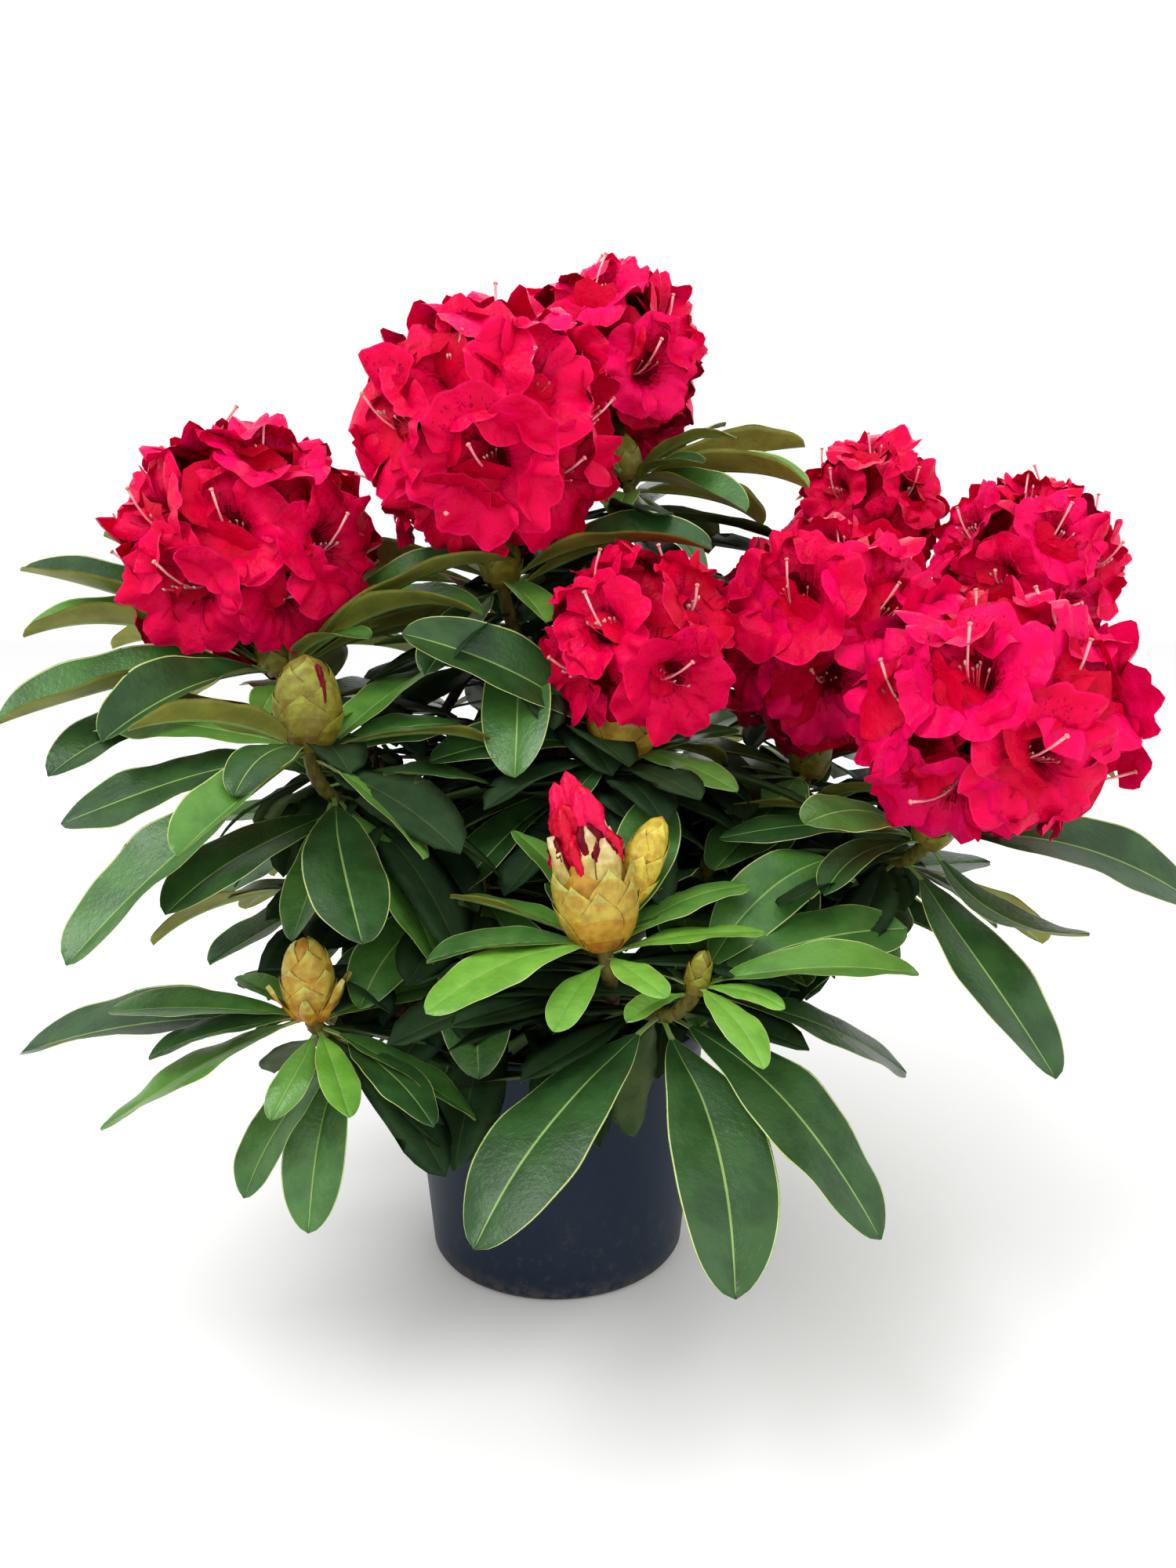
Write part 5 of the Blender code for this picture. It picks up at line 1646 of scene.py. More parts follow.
@dataclass
class Buds:
    """Winter buds in overlapping scales, and flower buds that break out of them."""

    name: str
    rings: tuple[float, ...] = (0.0, 0.16, 0.34, 0.52, 0.68, 0.82, 0.92, 0.975, 1.0)
    across: tuple[float, ...] = (0.0, 0.18, 0.36, 0.55, 0.76, 0.94, 1.0)
    body_rings: int = 16
    body_sides: int = 14
    furled_sides: int = 24
    fold: float = 0.34
    lift: float = 0.0015
    keel: float = 0.0005
    edge_roll: float = 0.0007
    petals: int = 17
    bright_petals: int = 4
    petal_lean: Triple = (-0.006, 0.0, 0.0)
    split_bud: str = "shoot_left_bud"
    slit_way: Triple = (0.68, -0.73, 0.0)
    loose_bud: str = "shoot_low_left_bud"
    loose_scales: tuple[Triple, ...] = (
        (-0.5, 0.026, 0.0050), (-1.5, 0.018, 0.0048), (-2.7, 0.022, 0.0046),
        (0.6, 0.022, 0.0050), (1.9, 0.020, 0.0046))
    heap: Heap = field(init=False)

    def __post_init__(self) -> None:
        """Start the heap."""
        self.heap = Heap(self.name, BUD_FINISHES)

    def add_body(self, core: Core, slot: str, ridges: int = 0) -> None:
        """Grow a smooth pointed ovoid.

        Args:
            core: Its middle line and radius.
            slot: Its finish.
            ridges: Folds round it, for a furled petal.
        """
        sides = self.furled_sides if ridges else self.body_sides
        share = np.linspace(0.0, 1.0, self.body_rings)
        wide = core.radius * (self.furled(share) if ridges else self.profile(share))
        path = np.array(core.base) + np.outer(share, np.array(core.top - core.base))
        angles = np.linspace(0.0, math.tau, sides, endpoint=False)
        fold = self.fold if ridges else 0.0
        relief = 1.0 + fold * np.cos(angles[None, :] * ridges + share[:, None] * 1.6)
        crumple = np.sin(angles[None, :] * 7.0 + share[:, None] * 23.0 + core.radius * 9000.0)
        relief = relief + 0.8 * fold * crumple * share[:, None] ** 1.5
        self.heap.add_tube(path, wide, sides, self.heap.slot_of[slot], relief)

    @staticmethod
    def profile(share: np.ndarray) -> np.ndarray:
        """Radius of a bud along it, as a share of its widest."""
        return np.maximum((share + 0.02) ** 0.42 * (1.0 - share) ** 0.50 / 0.540, 0.02)

    @staticmethod
    def furled(share: np.ndarray) -> np.ndarray:
        """Radius of a furled petal along it, as a share of its widest."""
        return np.maximum((share + 0.03) ** 0.5 * (1.0 - share ** 3.4) ** 0.6 / 0.78, 0.04)

    def scale_grid(self) -> tuple[np.ndarray, np.ndarray]:
        """Places along a scale from 0 to 1, and across it from -1 to 1."""
        lane = [*(-place for place in self.across[:0:-1]), *self.across]
        return np.array(self.rings)[:, None], np.array(lane)[None, :]

    def add_grid(self, foot: Vector, turned: np.ndarray, points: np.ndarray, fade: str,
                 ripe: float = 0.0) -> None:
        """Add one scale, whose faces fade from its foot to its tip.

        Args:
            foot: Where it stands.
            turned: Rows of its frame.
            points: Its points in that frame, row by row.
            fade: Name of its finishes.
            ripe: How far along the fade its foot starts.
        """
        rings, lanes = points.shape[:2]
        middle = (np.array(self.rings[:-1]) + self.rings[1:]) / 2
        steps = np.round((ripe + (1.0 - ripe) * middle) * (FADE_STEPS - 1)).astype(int)
        slots = self.heap.slot_of[f"scale_{fade}_0"] + steps
        table = np.repeat(slots[:, None], lanes - 1, axis=1)
        # Both edge lanes of a scale take the dark edge: a brown margin and a painted shadow line.
        table[:, [0, -1]] = self.heap.slot_of["scale_edge_and_shadow"]
        self.heap.add(np.array(foot) + points @ turned, grid_faces(rings, lanes),
                      table.reshape(-1))

    def add_scales(self, core: Core, count: int, fade: str, chance: random.Random,
                   last: float = 0.72, spread: float = 0.80, flare: float = 0.0) -> None:
        """Wrap a bud in overlapping scales.

        Args:
            core: The bud's middle line and radius.
            count: How many scales.
            fade: Name of the finishes of a scale.
            chance: Seeded source.
            last: How far up the last scale starts.
            spread: Half width of a scale, in radians.
            flare: How far the tips lean out, in metres.
        """
        axis = core.top - core.base
        turned = frame_of(axis, Vector((1.0, 0.0, 0.2)))
        rings, lane = self.scale_grid()
        half = spread * (1.0 - rings ** 3.6) ** 0.80 + 0.015
        crest = self.keel * np.exp(-(lane / 0.18) ** 2) * (1.0 - rings)
        for index in range(count):
            start = last * (index / max(count - 1, 1)) ** 1.15
            long = chance.uniform(0.36, 0.46) * (0.5 + 0.5 * spread / 0.8)
            share = np.clip(start + long * rings * (1.0 - 0.16 * lane ** 2), 0.0, 0.985)
            angle = math.radians(GOLDEN_ANGLE) * index + lane * half
            proud = self.lift * (1.0 - 0.55 * index / count) * (0.25 + 1.0 * rings ** 2)
            wide = core.radius * self.profile(share) * 1.02 + proud + crest
            wide = wide - self.edge_roll * lane ** 2 * rings + flare * rings ** 1.6 * start
            points = np.stack([wide * np.cos(angle), wide * np.sin(angle),
                               share * axis.length + angle * 0.0], -1)
            self.add_grid(core.base, turned, points, fade, 0.45 * index / count)

    def add_scale(self, foot: Vector, tip: Vector, out: Vector, half: float,
                  fade: str = "pale") -> None:
        """Grow one free pointed scale that hugs what stands behind it.

        Args:
            foot: Its foot.
            tip: Its tip.
            out: The way its back faces.
            half: Half its width.
            fade: Name of its finishes.
        """
        rings, lane = self.scale_grid()
        axis = tip - foot
        wide = half * (0.75 + rings) * (1.0 - rings ** 1.7) ** 0.95 + 0.0002
        hug = -half * 0.55 * lane ** 2 * (1.0 - 0.4 * rings) + 0.0035 * rings * (1.0 - rings)
        hug = hug + 0.0007 * np.sin(rings * 9.0 + lane * 3.0)
        points = np.stack([hug, lane * wide, rings * axis.length + lane * 0.0], -1)
        self.add_grid(foot, frame_of(axis, out), points, fade)

    def add_closed(self, core: Core, count: int, fade: str, chance: random.Random) -> None:
        """Grow a closed bud with a number of scales in the finishes of a fade."""
        self.add_body(core, f"scale_{fade}_1")
        self.add_scales(core, count, fade, chance, 0.62, 1.05)

    def add_opening(self, shoot: Shoot, chance: random.Random) -> None:
        """Grow a bud whose red flowers break out at the top between cream scales.

        Args:
            shoot: Its shoot.
            chance: Seeded source.
        """
        foot, axis = shoot.at(-0.03), shoot.axis()
        self.add_body(Core(foot, shoot.at(0.62), shoot.size * 0.90), "scale_ripe_1")
        self.add_scales(Core(foot, shoot.at(0.80), shoot.size * 0.95), 14, "ripe", chance,
                        0.26, 0.68, 0.003)
        side = axis.orthogonal().normalized()
        for index in range(self.petals):
            out = Matrix.Rotation(math.radians(GOLDEN_ANGLE) * index, 3, axis) @ side
            ring = 0.20 + 0.80 * math.sqrt(index / (self.petals - 1))
            root = shoot.at(0.34) + out * shoot.size * 0.40 * ring
            reach = 1.09 - 0.46 * ring ** 1.3 + chance.uniform(-0.10, 0.04)
            tip = shoot.at(reach) + out * shoot.size * 0.66 * ring
            tip += Vector(self.petal_lean) * (1.4 - ring)
            # The top petals take the bright red, which is partly painted light; of the rest,
            # alternate petals take the near-black red, which is painted shade.
            slot = "bud_petal_top_lit" if index < self.bright_petals else (
                "bud_petal_shaded" if index % 2 else "bud_petal")
            self.add_body(Core(root, tip, shoot.size * chance.uniform(0.28, 0.40)), slot, 4)
            if index > self.bright_petals and index % 2:
                outer = root + out * shoot.size * 0.52
                self.add_scale(outer, outer.lerp(tip, chance.uniform(0.90, 1.25)) + out * 0.005,
                               out, shoot.size * chance.uniform(0.34, 0.44))

    def add_winter_bud(self, shoot: Shoot, chance: random.Random) -> None:
        """Grow a closed flower bud, loose or split where the table says so.

        Args:
            shoot: Its shoot.
            chance: Seeded source.
        """
        foot, head = shoot.at(-0.06), shoot.at(1.0)
        if shoot.name == self.loose_bud:
            radius = shoot.size * 0.88
            self.add_closed(Core(foot, head, radius), 14, "ripe", chance)
            for azimuth, rise, half in self.loose_scales:
                out = Vector((math.cos(azimuth), math.sin(azimuth), 0.0))
                tip = foot + out * radius * 1.75 + Vector((0.0, 0.0, rise))
                self.add_scale(foot + out * radius * 0.62, tip, out, half, "ripe")
            return
        radius = shoot.size * 0.98
        self.add_closed(Core(foot, head, radius), 12, "olive", chance)
        if shoot.name == self.split_bud:
            aside = Vector(self.slit_way) * radius
            slit = Core(shoot.at(0.50) + aside * 1.04, shoot.at(0.92) + aside * 0.70,
                        shoot.size * 0.15)
            # The slit shows the near-black red: painted shade in the split.
            self.add_body(slit, "bud_petal_shaded", 3)

    def add_head(self, shoot: Shoot, chance: random.Random) -> None:
        """Grow what a shoot's head has besides a truss.

        Args:
            shoot: The shoot.
            chance: Seeded source.
        """
        base = shoot.at(0.0) - shoot.axis() * BUD_SINK
        if shoot.kind is Kind.OPENING_BUD:
            self.add_opening(shoot, chance)
        elif shoot.kind is Kind.OPENING_TRUSS:
            self.add_scales(Core(base, shoot.at(0.95), shoot.size * 0.35), 18, "ripe", chance,
                            0.40, 0.80, 0.016)
        elif shoot.kind is Kind.BUD:
            self.add_winter_bud(shoot, chance)
        elif shoot.kind is Kind.LEAFY:
            self.add_closed(Core(base, shoot.at(1.0), shoot.size), 9, "olive", chance)
        else:
            self.add_scales(Core(base, shoot.at(0.46), shoot.size * 0.15), 12, "olive", chance,
                            0.5)
        if shoot.side_bud:
            top = Vector(shoot.side_bud[:3])
            core = Core(shoot.at(0.0).lerp(top, 0.30), top, shoot.side_bud[3])
            self.add_body(core, "scale_golden_2")
            self.add_scales(core, 12, "golden", chance, 0.55, 0.85)


@dataclass
class Wood:
    """Trunk and boughs in thin fissured bark, and the green and brown branchlets."""

    trunk_rings: int = 30
    trunk_sides: int = 32
    roots: int = 5
    root_depth: float = 0.13
    root_height: float = 0.03
    bough_rings: int = 64
    bough_sides: int = 18
    bough_knots: tuple[float, ...] = (0.22, 0.41, 0.58, 0.77)
    stem_rings: int = 36
    stem_sides: int = 12
    stem_scars: int = 9
    twig_sides: int = 8
    twig_radii: tuple[float, float] = (0.0026, 0.0017)
    flutes: float = 0.07
    stem_flutes: float = 0.035
    twig_flutes: float = 0.04
    plates: tuple[tuple[float, ...], ...] = (
        (2, 0.11, 0.8), (3, 0.23, 0.7), (5, 0.41, 0.6), (8, 0.9, 0.5))
    bark: Heap = field(init=False)
    twigs: Heap = field(init=False)

    def __post_init__(self) -> None:
        """Start the heaps."""
        self.bark = Heap("trunk_and_boughs", BARK_FINISHES)
        self.twigs = Heap("branchlets", TWIG_FINISHES)

    def relief(self, rings: int, sides: int, chance: random.Random, depth: float) -> np.ndarray:
        """Long plates and knots of bark, as shares of the radius.

        Args:
            rings: Rings along the limb.
            sides: Points in a ring.
            chance: Seeded source.
            depth: How deep the relief is.

        Returns:
            A share for each point.
        """
        angle = np.linspace(0.0, math.tau, sides, endpoint=False)[None, :]
        along = np.arange(rings)[:, None]
        total = np.ones((rings, sides))
        for turns, pace, weight in self.plates:
            phase = chance.uniform(0.0, math.tau)
            drift = np.sin(along * pace + phase) * 1.7
            total = total + depth * weight * np.sin(angle * turns + drift + along * pace * 0.3)
        noise = np.array([[chance.uniform(-1, 1) for _ in range(sides)] for _ in range(rings)])
        return total + depth * 0.45 * noise

    def add_trunk(self, chance: random.Random) -> None:
        """Grow the short flared trunk.

        Args:
            chance: Seeded source.
        """
        heights = np.linspace(0.0, TRUNK_HEIGHT, self.trunk_rings)
        lean = np.array([*TRUNK_LEAN, 0.0])
        share = np.where(heights >= FLARE_HEIGHT, heights / TRUNK_HEIGHT, 0.0)
        path = lean * smooth(share, 0.0, 1.0)[:, None]
        path[:, 2] = MIX_TOP + GAP + heights
        radii = np.interp(heights, (0.0, 0.4 * FLARE_HEIGHT, FLARE_HEIGHT, WAIST_HEIGHT,
                                    TRUNK_HEIGHT),
                          (TRUNK_FOOT_RADIUS, 0.84 * TRUNK_FOOT_RADIUS, TRUNK_NECK_RADIUS,
                           TRUNK_RADIUS, TRUNK_TIP_RADIUS))
        relief = self.relief(self.trunk_rings, self.trunk_sides, chance, self.flutes)
        angle = np.linspace(0.0, math.tau, self.trunk_sides, endpoint=False)
        ridges = self.root_depth * np.cos(angle * self.roots + 0.7)[None, :]
        ridges = ridges * smooth(1.0 - heights / self.root_height, 0.0, 1.0)[:, None]
        self.bark.add_tube(path, radii * 0.96, self.trunk_sides,
                           self.bark.slot_of["trunk_bark"], relief + ridges)

    @staticmethod
    def knotted(radii: np.ndarray, share: np.ndarray, place: float, swell: float,
                spread: float) -> np.ndarray:
        """Radii of a limb at its shares, with a knot of a swell and a spread at a place."""
        return radii * (1.0 + swell * np.exp(-((share - place) / spread) ** 2))

    def add_bough(self, growth: Growth, limb: Limb, chance: random.Random) -> None:
        """Grow one bough.

        Args:
            growth: The growing rule.
            limb: The bough's sizes.
            chance: Seeded source.
        """
        path = as_array(growth.bough_points(limb, self.bough_rings))
        share = np.linspace(0.0, 1.0, len(path))
        radii = limb.radius + (limb.tip_radius - limb.radius) * share
        radii = radii * (1.0 + 0.35 * smooth(1.0 - share / 0.12, 0.0, 1.0))
        for knot in self.bough_knots:
            radii = self.knotted(radii, share, knot + chance.uniform(-0.05, 0.05), 0.16, 0.012)
        relief = self.relief(len(path), self.bough_sides, chance, self.flutes)
        self.bark.add_tube(path, radii, self.bough_sides, self.bark.slot_of["bough_bark"],
                           relief)

    def add_stem(self, growth: Growth, shoot: Shoot, chance: random.Random) -> None:
        """Grow one branchlet: brown wood below and a green year's growth above.

        Args:
            growth: The growing rule.
            shoot: The shoot.
            chance: Seeded source.
        """
        past = 0.55 if shoot.florets else 0.12
        path = as_array([*growth.stem_points(shoot, self.stem_rings), shoot.at(past)])
        share = np.linspace(0.0, 1.0, len(path))
        radii = STEM_RADIUS + (STEM_TIP_RADIUS - STEM_RADIUS) * share
        for index in range(self.stem_scars):
            place = 0.30 + 0.075 * index + chance.uniform(-0.02, 0.02)
            radii = self.knotted(radii, share, place, 0.13, 0.010)
        slot_of = self.twigs.slot_of
        middle = (share[:-1] + share[1:]) / 2
        slots = np.where(middle < 0.42, slot_of["twig_brown"],
                         np.where(middle < 0.66, slot_of["twig_olive"], slot_of["twig_green"]))
        relief = self.relief(len(path), self.stem_sides, chance, self.stem_flutes)
        self.twigs.add_tube(path, radii, self.stem_sides, slots, relief)

    def add_twig(self, path: Sequence[Vector], chance: random.Random) -> None:
        """Grow a short leafy twig.

        Args:
            path: Its points.
            chance: Seeded source.
        """
        line = as_array(path)
        radii = np.linspace(*self.twig_radii, len(line))
        relief = self.relief(len(line), self.twig_sides, chance, self.twig_flutes)
        self.twigs.add_tube(line, radii, self.twig_sides, self.twigs.slot_of["twig_olive"],
                            relief)


@dataclass
class Pot:
    """The nursery pot, as round as a lathe makes it, filled with potting mix."""

    base_radius: float = 0.085
    top_radius: float = 0.100
    wall: float = 0.0022
    wall_steps: int = 13
    foot_chamfer: float = 0.004
    foot_ring: float = 0.012
    foot_recess: float = 0.0012
    rim_height: float = 0.011
    rim_overhang: float = 0.003
    rim_step: float = 0.003
    edge_round: float = 0.0008
    edge_drop: float = 0.004
    flat_radius: float = 0.045
    sides: int = 160
    mix_rings: int = 44
    mix_sides: int = 120
    ripples: tuple[tuple[float, ...], ...] = (
        (90.0, 3, 0.0012), (210.0, 7, 0.0009), (430.0, 13, 0.0006))
    chips: int = 260
    skirt: float = 0.012

    def radius(self, height: float) -> float:
        """Outer radius of the wall at a height."""
        return self.base_radius + (self.top_radius - self.base_radius) * height / POT_HEIGHT

    def profile(self) -> list[tuple[float, float]]:
        """Go round the pot's section.

        Returns:
            Radius and height of each point, from the middle of the inner floor.
        """
        lip, inner = self.top_radius + self.rim_overhang, self.top_radius - self.wall
        soft, foot = self.edge_round, POT_HEIGHT - self.rim_height
        low, steps = foot - self.rim_step, self.wall_steps
        heights = [low * (1 - step / steps) + self.foot_chamfer * step / steps
                   for step in range(1, steps)]
        return [(0.0, self.wall), (self.radius(0.006) - self.wall - 0.004, self.wall),
                (self.radius(0.008) - self.wall, 0.008),
                (inner, POT_HEIGHT - soft), (inner + soft, POT_HEIGHT),
                (lip - soft, POT_HEIGHT), (lip, POT_HEIGHT - soft),
                (lip, foot + soft), (lip - soft, foot),
                (self.radius(foot) + 0.0004, foot - 0.0012), (self.radius(foot), low),
                *((self.radius(height), height) for height in heights),
                (self.radius(self.foot_chamfer), self.foot_chamfer),
                (self.base_radius - 0.0012, 0.0016),
                (self.base_radius - self.foot_chamfer, 0.0),
                (self.base_radius - self.foot_ring, 0.0),
                (self.base_radius - self.foot_ring - 0.002, self.foot_recess),
                (0.0, self.foot_recess)]

    def build(self) -> bpy.types.Object:
        """Turn the pot.

        Returns:
            Its object.
        """
        heap = Heap("nursery_pot", [POT_FINISH])
        angles = np.linspace(0.0, math.tau, self.sides, endpoint=False)
        outline = np.array(self.profile())
        rings = np.stack([outline[:, :1] * np.cos(angles), outline[:, :1] * np.sin(angles),
                          np.repeat(outline[:, 1:], self.sides, axis=1)], -1)
        heap.add(rings, grid_faces(len(outline), self.sides, True)[:, ::-1], 0)
        return heap.build()

    def build_mix(self, chance: random.Random) -> bpy.types.Object:
        """Heap the potting mix in the pot, crumbly and a little uneven.

        Args:
            chance: Seeded source.

        Returns:
            The piece.
        """
        heap = Heap("potting_mix_surface", [SOIL_FINISH, CHIP_FINISH])
        edge = MIX_TOP - self.edge_drop
        reach = self.radius(edge) - self.wall - 2 * GAP
        radii = np.linspace(0.0, 1.0, self.mix_rings)[:, None] * reach
        angles = np.linspace(0.0, math.tau, self.mix_sides, endpoint=False)[None, :]
        fall = self.edge_drop * smooth(radii, self.flat_radius, reach)
        height = np.repeat(MIX_TOP - fall, self.mix_sides, axis=1)
        for waves, turns, deep in self.ripples:
            phase = chance.uniform(0.0, math.tau)
            height = height + deep * (np.sin(
                radii * waves + phase + 2.0 * np.sin(angles * turns + phase)) - 1.0)
        noise = np.array([[chance.random() for _ in range(self.mix_sides)]
                          for _ in range(self.mix_rings)])
        height = np.minimum(height - 0.0011 * noise, MIX_TOP - 0.0001)
        height[0] = MIX_TOP - 0.001
        grid = np.stack([radii * np.cos(angles), radii * np.sin(angles), height], -1)
        skirt = grid[-1:] * (0.985, 0.985, 1.0) - (0.0, 0.0, self.skirt)
        heap.add(np.concatenate([grid, skirt]),
                 grid_faces(self.mix_rings + 1, self.mix_sides, True), 0)
        for _ in range(self.chips):
            self.add_chip(heap, reach, chance)
        return heap.build()

    def add_chip(self, heap: Heap, reach: float, chance: random.Random) -> None:
        """Lay one chip of bark or crumb of peat on the mix, clear of the trunk.

        Args:
            heap: Where it is joined.
            reach: Radius of the mix.
            chance: Seeded source.
        """
        angle, radius = chance.uniform(0.0, math.tau), reach * 0.97 * math.sqrt(chance.random())
        if radius < TRUNK_FOOT_RADIUS * 1.1:
            return
        fall = self.edge_drop * float(smooth(radius, self.flat_radius, reach))
        spot = np.array([radius * math.cos(angle), radius * math.sin(angle),
                         MIX_TOP - fall - 0.0018])
        way = chance.uniform(0.0, math.tau)
        step = np.array([math.cos(way), math.sin(way), chance.uniform(-0.25, 0.25)])
        long = chance.uniform(0.0012, 0.0042)
        path = spot + np.outer(np.array([-1.0, -0.3, 0.4, 1.0]), step * long)
        path[:, 2] = np.minimum(path[:, 2], MIX_TOP - 0.0009)
        wide = chance.uniform(0.0005, 0.0013)
        heap.add_tube(path, np.array([0.4, 1.0, 0.9, 0.3]) * wide, 5,
                      1 if chance.random() < 0.6 else 0)




class Side(Enum):
    """Where a shoot stands, which says what piece it is joined in."""

    LEFT = "left"
    RIGHT = "right"
    BACK = "back"


def side_of(place: Sequence[float], back_from: float) -> Side:
    """The side of the plant that a place is on.

    Args:
        place: The place.
        back_from: Depth from which it counts as the back.

    Returns:
        The side.
    """
    if place[1] > back_from:
        return Side.BACK
    return Side.LEFT if place[0] < 0.0 else Side.RIGHT


@dataclass
class Shrub:
    """The whole plant: wood, foliage, blossom and buds on the frame's limbs."""

    growth: Growth
    floret_share: float = 1.4

    def build(self) -> None:
        """Grow every shoot and give each piece its place in the frame."""
        wood = Wood()
        wood.add_trunk(random.Random(SEED))
        for number, limb in enumerate(BOUGHS):
            wood.add_bough(self.growth, limb, random.Random(SEED * 7 + number))
        buds = Buds("buds")
        foliage = {side: Foliage(f"leaves_{side.value}") for side in Side}
        blossom = {side: Blossom(f"petals_{side.value}") for side in Side}
        trusses = [shoot for shoot in SHOOTS if shoot.florets]
        members: dict[Side, list[str]] = {side: [] for side in Side}
        for number, shoot in enumerate(SHOOTS):
            side = side_of(shoot.head, SHOOT_BACK_FROM)
            members[side].append(shoot.name)
            chance = random.Random(SEED * 100 + number)
            wood.add_stem(self.growth, shoot, chance)
            for root, leaf in self.growth.leaves(number, shoot):
                foliage[side].add_leaf(root, leaf, tone_of(shoot, leaf, chance), chance)
            self.add_inner(foliage[side], self.growth.stems[shoot.name], OLD_WHORLS, number)
            if shoot.florets:
                crowd = [other for other in trusses if other is not shoot]
                count = round(shoot.florets * self.floret_share)
                blossom[side].add_truss(shoot, count, crowd, chance)
            buds.add_head(shoot, chance)
        self.add_twigs(wood, foliage)
        everyone = [shoot.name for shoot in SHOOTS]
        limbs = ["trunk", *(limb.name for limb in BOUGHS)]
        self.place(wood.bark, "bark", limbs)
        self.place(wood.twigs, "bark", everyone)
        self.place(buds.heap, "leaves_and_petals", everyone)
        for side in Side:
            self.place(foliage[side].heap, "leaves_and_petals", members[side])
            if blossom[side].heap.count:
                self.place(blossom[side].heap, "leaves_and_petals", members[side])
                self.place(blossom[side].parts, "leaves_and_petals", members[side])

    def add_inner(self, foliage: Foliage, path: Sequence[Vector], places: Sequence[float],
                  seed: int) -> None:
        """Dress a limb with old leaves in the dark shade tone, which is painted shade.

        Args:
            foliage: Where they are joined.
            path: Points of the limb.
            places: Shares of its length where whorls stand.
            seed: Seed of their chance.
        """
        chance = random.Random(SEED * 300 + seed)
        for root, leaf in self.growth.inner_leaves(path, places, chance):
            foliage.add_leaf(root, leaf, Tone.SHADE, chance, OLD_LEAF_ROWS)

    def add_twigs(self, wood: Wood, foliage: dict[Side, Foliage]) -> None:
        """Grow short leafy twigs off the boughs, which fill the crown.

        Args:
            wood: Where the twigs are joined.
            foliage: Where their leaves are joined.
        """
        for number, limb in enumerate(BOUGHS):
            chance = random.Random(SEED * 500 + number)
            for index, place in enumerate(TWIG_PLACES):
                path = self.growth.twig_points(limb, place, chance)
                wood.add_twig(path, chance)
                side = side_of(path[-1], TWIG_BACK_FROM)
                self.add_inner(foliage[side], path, TWIG_WHORL, 100 + 10 * number + index)

    @staticmethod
    def place(heap: Heap, slot: str, nodes: Sequence[str]) -> None:
        """Build a heap, and let it stand for its nodes."""
        place_piece(heap.build(), slot, nodes)
        LOG.info("%s: %d triangles", heap.name, heap.triangles())


def place_piece(item: bpy.types.Object, slot: str, nodes: Sequence[str]) -> None:
    """Let a piece ride with the plant and stand for its nodes.

    Args:
        item: The piece.
        slot: The record's material slot; not used.
        nodes: The nodes that it replaces.
    """
    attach(item, ROOT)
    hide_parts(*nodes)


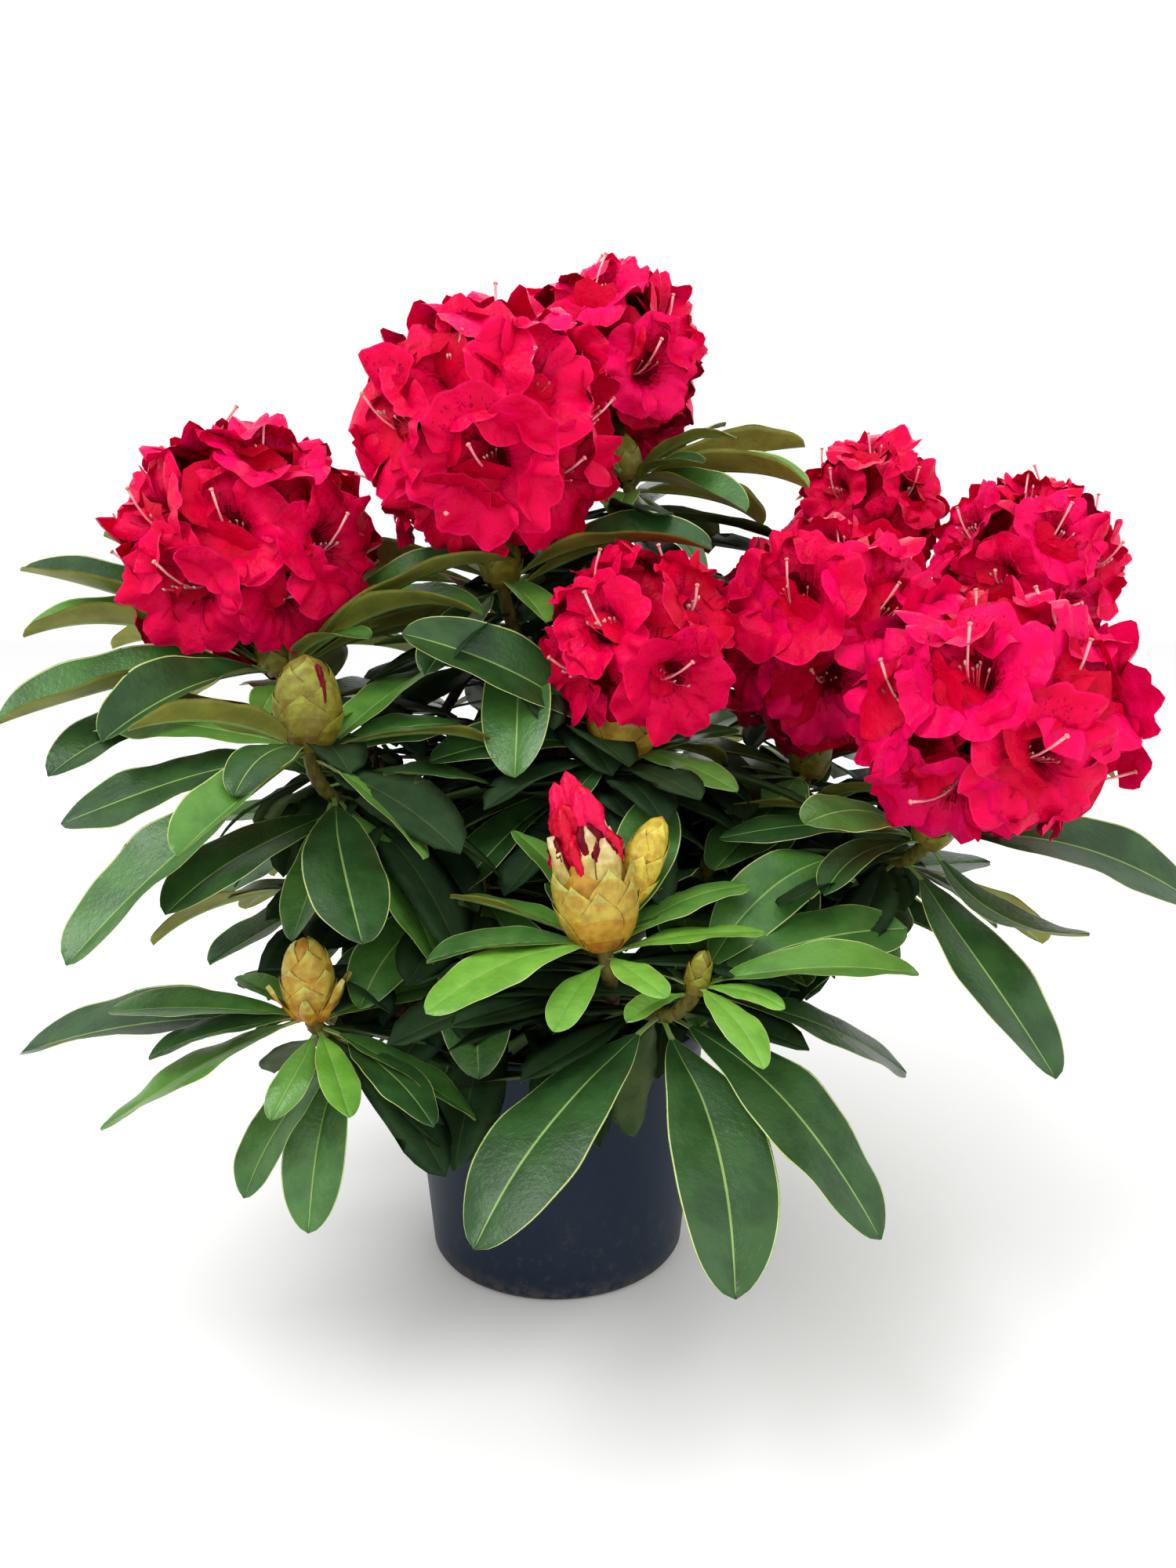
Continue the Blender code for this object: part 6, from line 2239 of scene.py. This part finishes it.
@dataclass(frozen=True)
class Studio:
    """A pale floor, soft lights and the camera."""

    camera_place: Triple = (0.021, -0.754, 0.453)
    camera_pitch: float = 10.3
    lens: float = 27.0
    sensor: float = 36.0
    floor_size: float = 14.0

    def build(self) -> None:
        """Set up the studio."""
        self.add_floor()
        self.add_camera()
        self.add_sky()
        self.add_lamp("key_light", (-1.2, -1.3, 2.6), 1.6, 44.0)
        self.add_lamp("fill_light", (1.7, -1.6, 1.4), 2.2, 12.0)
        self.add_lamp("rim_light", (0.5, 1.9, 1.9), 1.8, 14.0)

    def add_floor(self) -> None:
        """Lay the floor."""
        half = self.floor_size / 2
        corners = [(-half, -half, 0.0), (half, -half, 0.0), (half, half, 0.0), (-half, half, 0.0)]
        mesh = bpy.data.meshes.new("floor")
        mesh.from_pydata(corners, [], [(0, 1, 2, 3)])
        mesh.materials.append(material_of(FLOOR_FINISH))
        floor = bpy.data.objects.new("floor", mesh)
        bpy.context.scene.collection.objects.link(floor)
        floor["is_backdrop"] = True

    def add_camera(self) -> None:
        """Set the camera."""
        camera = bpy.data.cameras.new("camera")
        camera.lens = self.lens
        camera.sensor_width = self.sensor
        camera.clip_start = 0.02
        item = bpy.data.objects.new("camera", camera)
        item.location = self.camera_place
        item.rotation_euler = (math.radians(90.0 - self.camera_pitch), 0.0, 0.0)
        bpy.context.scene.collection.objects.link(item)
        bpy.context.scene.camera = item

    def add_sky(self) -> None:
        """Light the scene evenly from all round."""
        world = bpy.data.worlds.new("studio_sky")
        world.use_nodes = True
        backdrop = world.node_tree.nodes["Background"]
        backdrop.inputs["Color"].default_value = (1.0, 1.0, 1.0, 1.0)
        backdrop.inputs["Strength"].default_value = 1.05
        bpy.context.scene.world = world
        bpy.context.scene.view_settings.view_transform = "Standard"

    def add_lamp(self, name: str, place: Triple, size: float, power: float) -> None:
        """Hang a soft lamp that looks at the plant.

        Args:
            name: Its name.
            place: Where it hangs.
            size: Its width.
            power: Its power in watts.
        """
        lamp = bpy.data.lights.new(name, "AREA")
        lamp.shape = "DISK"
        lamp.size = size
        lamp.energy = power
        item = bpy.data.objects.new(name, lamp)
        item.location = place
        aim = Vector((0.0, 0.0, 0.35)) - Vector(place)
        item.rotation_euler = aim.to_track_quat("-Z", "Y").to_euler()
        bpy.context.scene.collection.objects.link(item)


def clear_scene() -> None:
    """Remove what the new file starts with."""
    for item in list(bpy.data.objects):
        bpy.data.objects.remove(item, do_unlink=True)


def main() -> None:
    """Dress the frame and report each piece."""
    logging.basicConfig(level=logging.INFO, format="%(name)s: %(message)s")
    clear_scene()
    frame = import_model()
    solid_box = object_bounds()
    Studio().build()
    pot = Pot()
    place_piece(pot.build(), "pot_plastic", ["pot"])
    place_piece(pot.build_mix(random.Random(SEED)), "potting_mix", ["potting_mix"])
    Shrub(Growth(frame["nodes"])).build()
    dressed_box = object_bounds()
    boxes = {name: [[float(part) for part in corner] for corner in box]
             for name, box in (("frame", solid_box), ("visual", dressed_box))}
    LOG.info("boxes: %s", boxes)


if __name__ == "__main__":
    main()
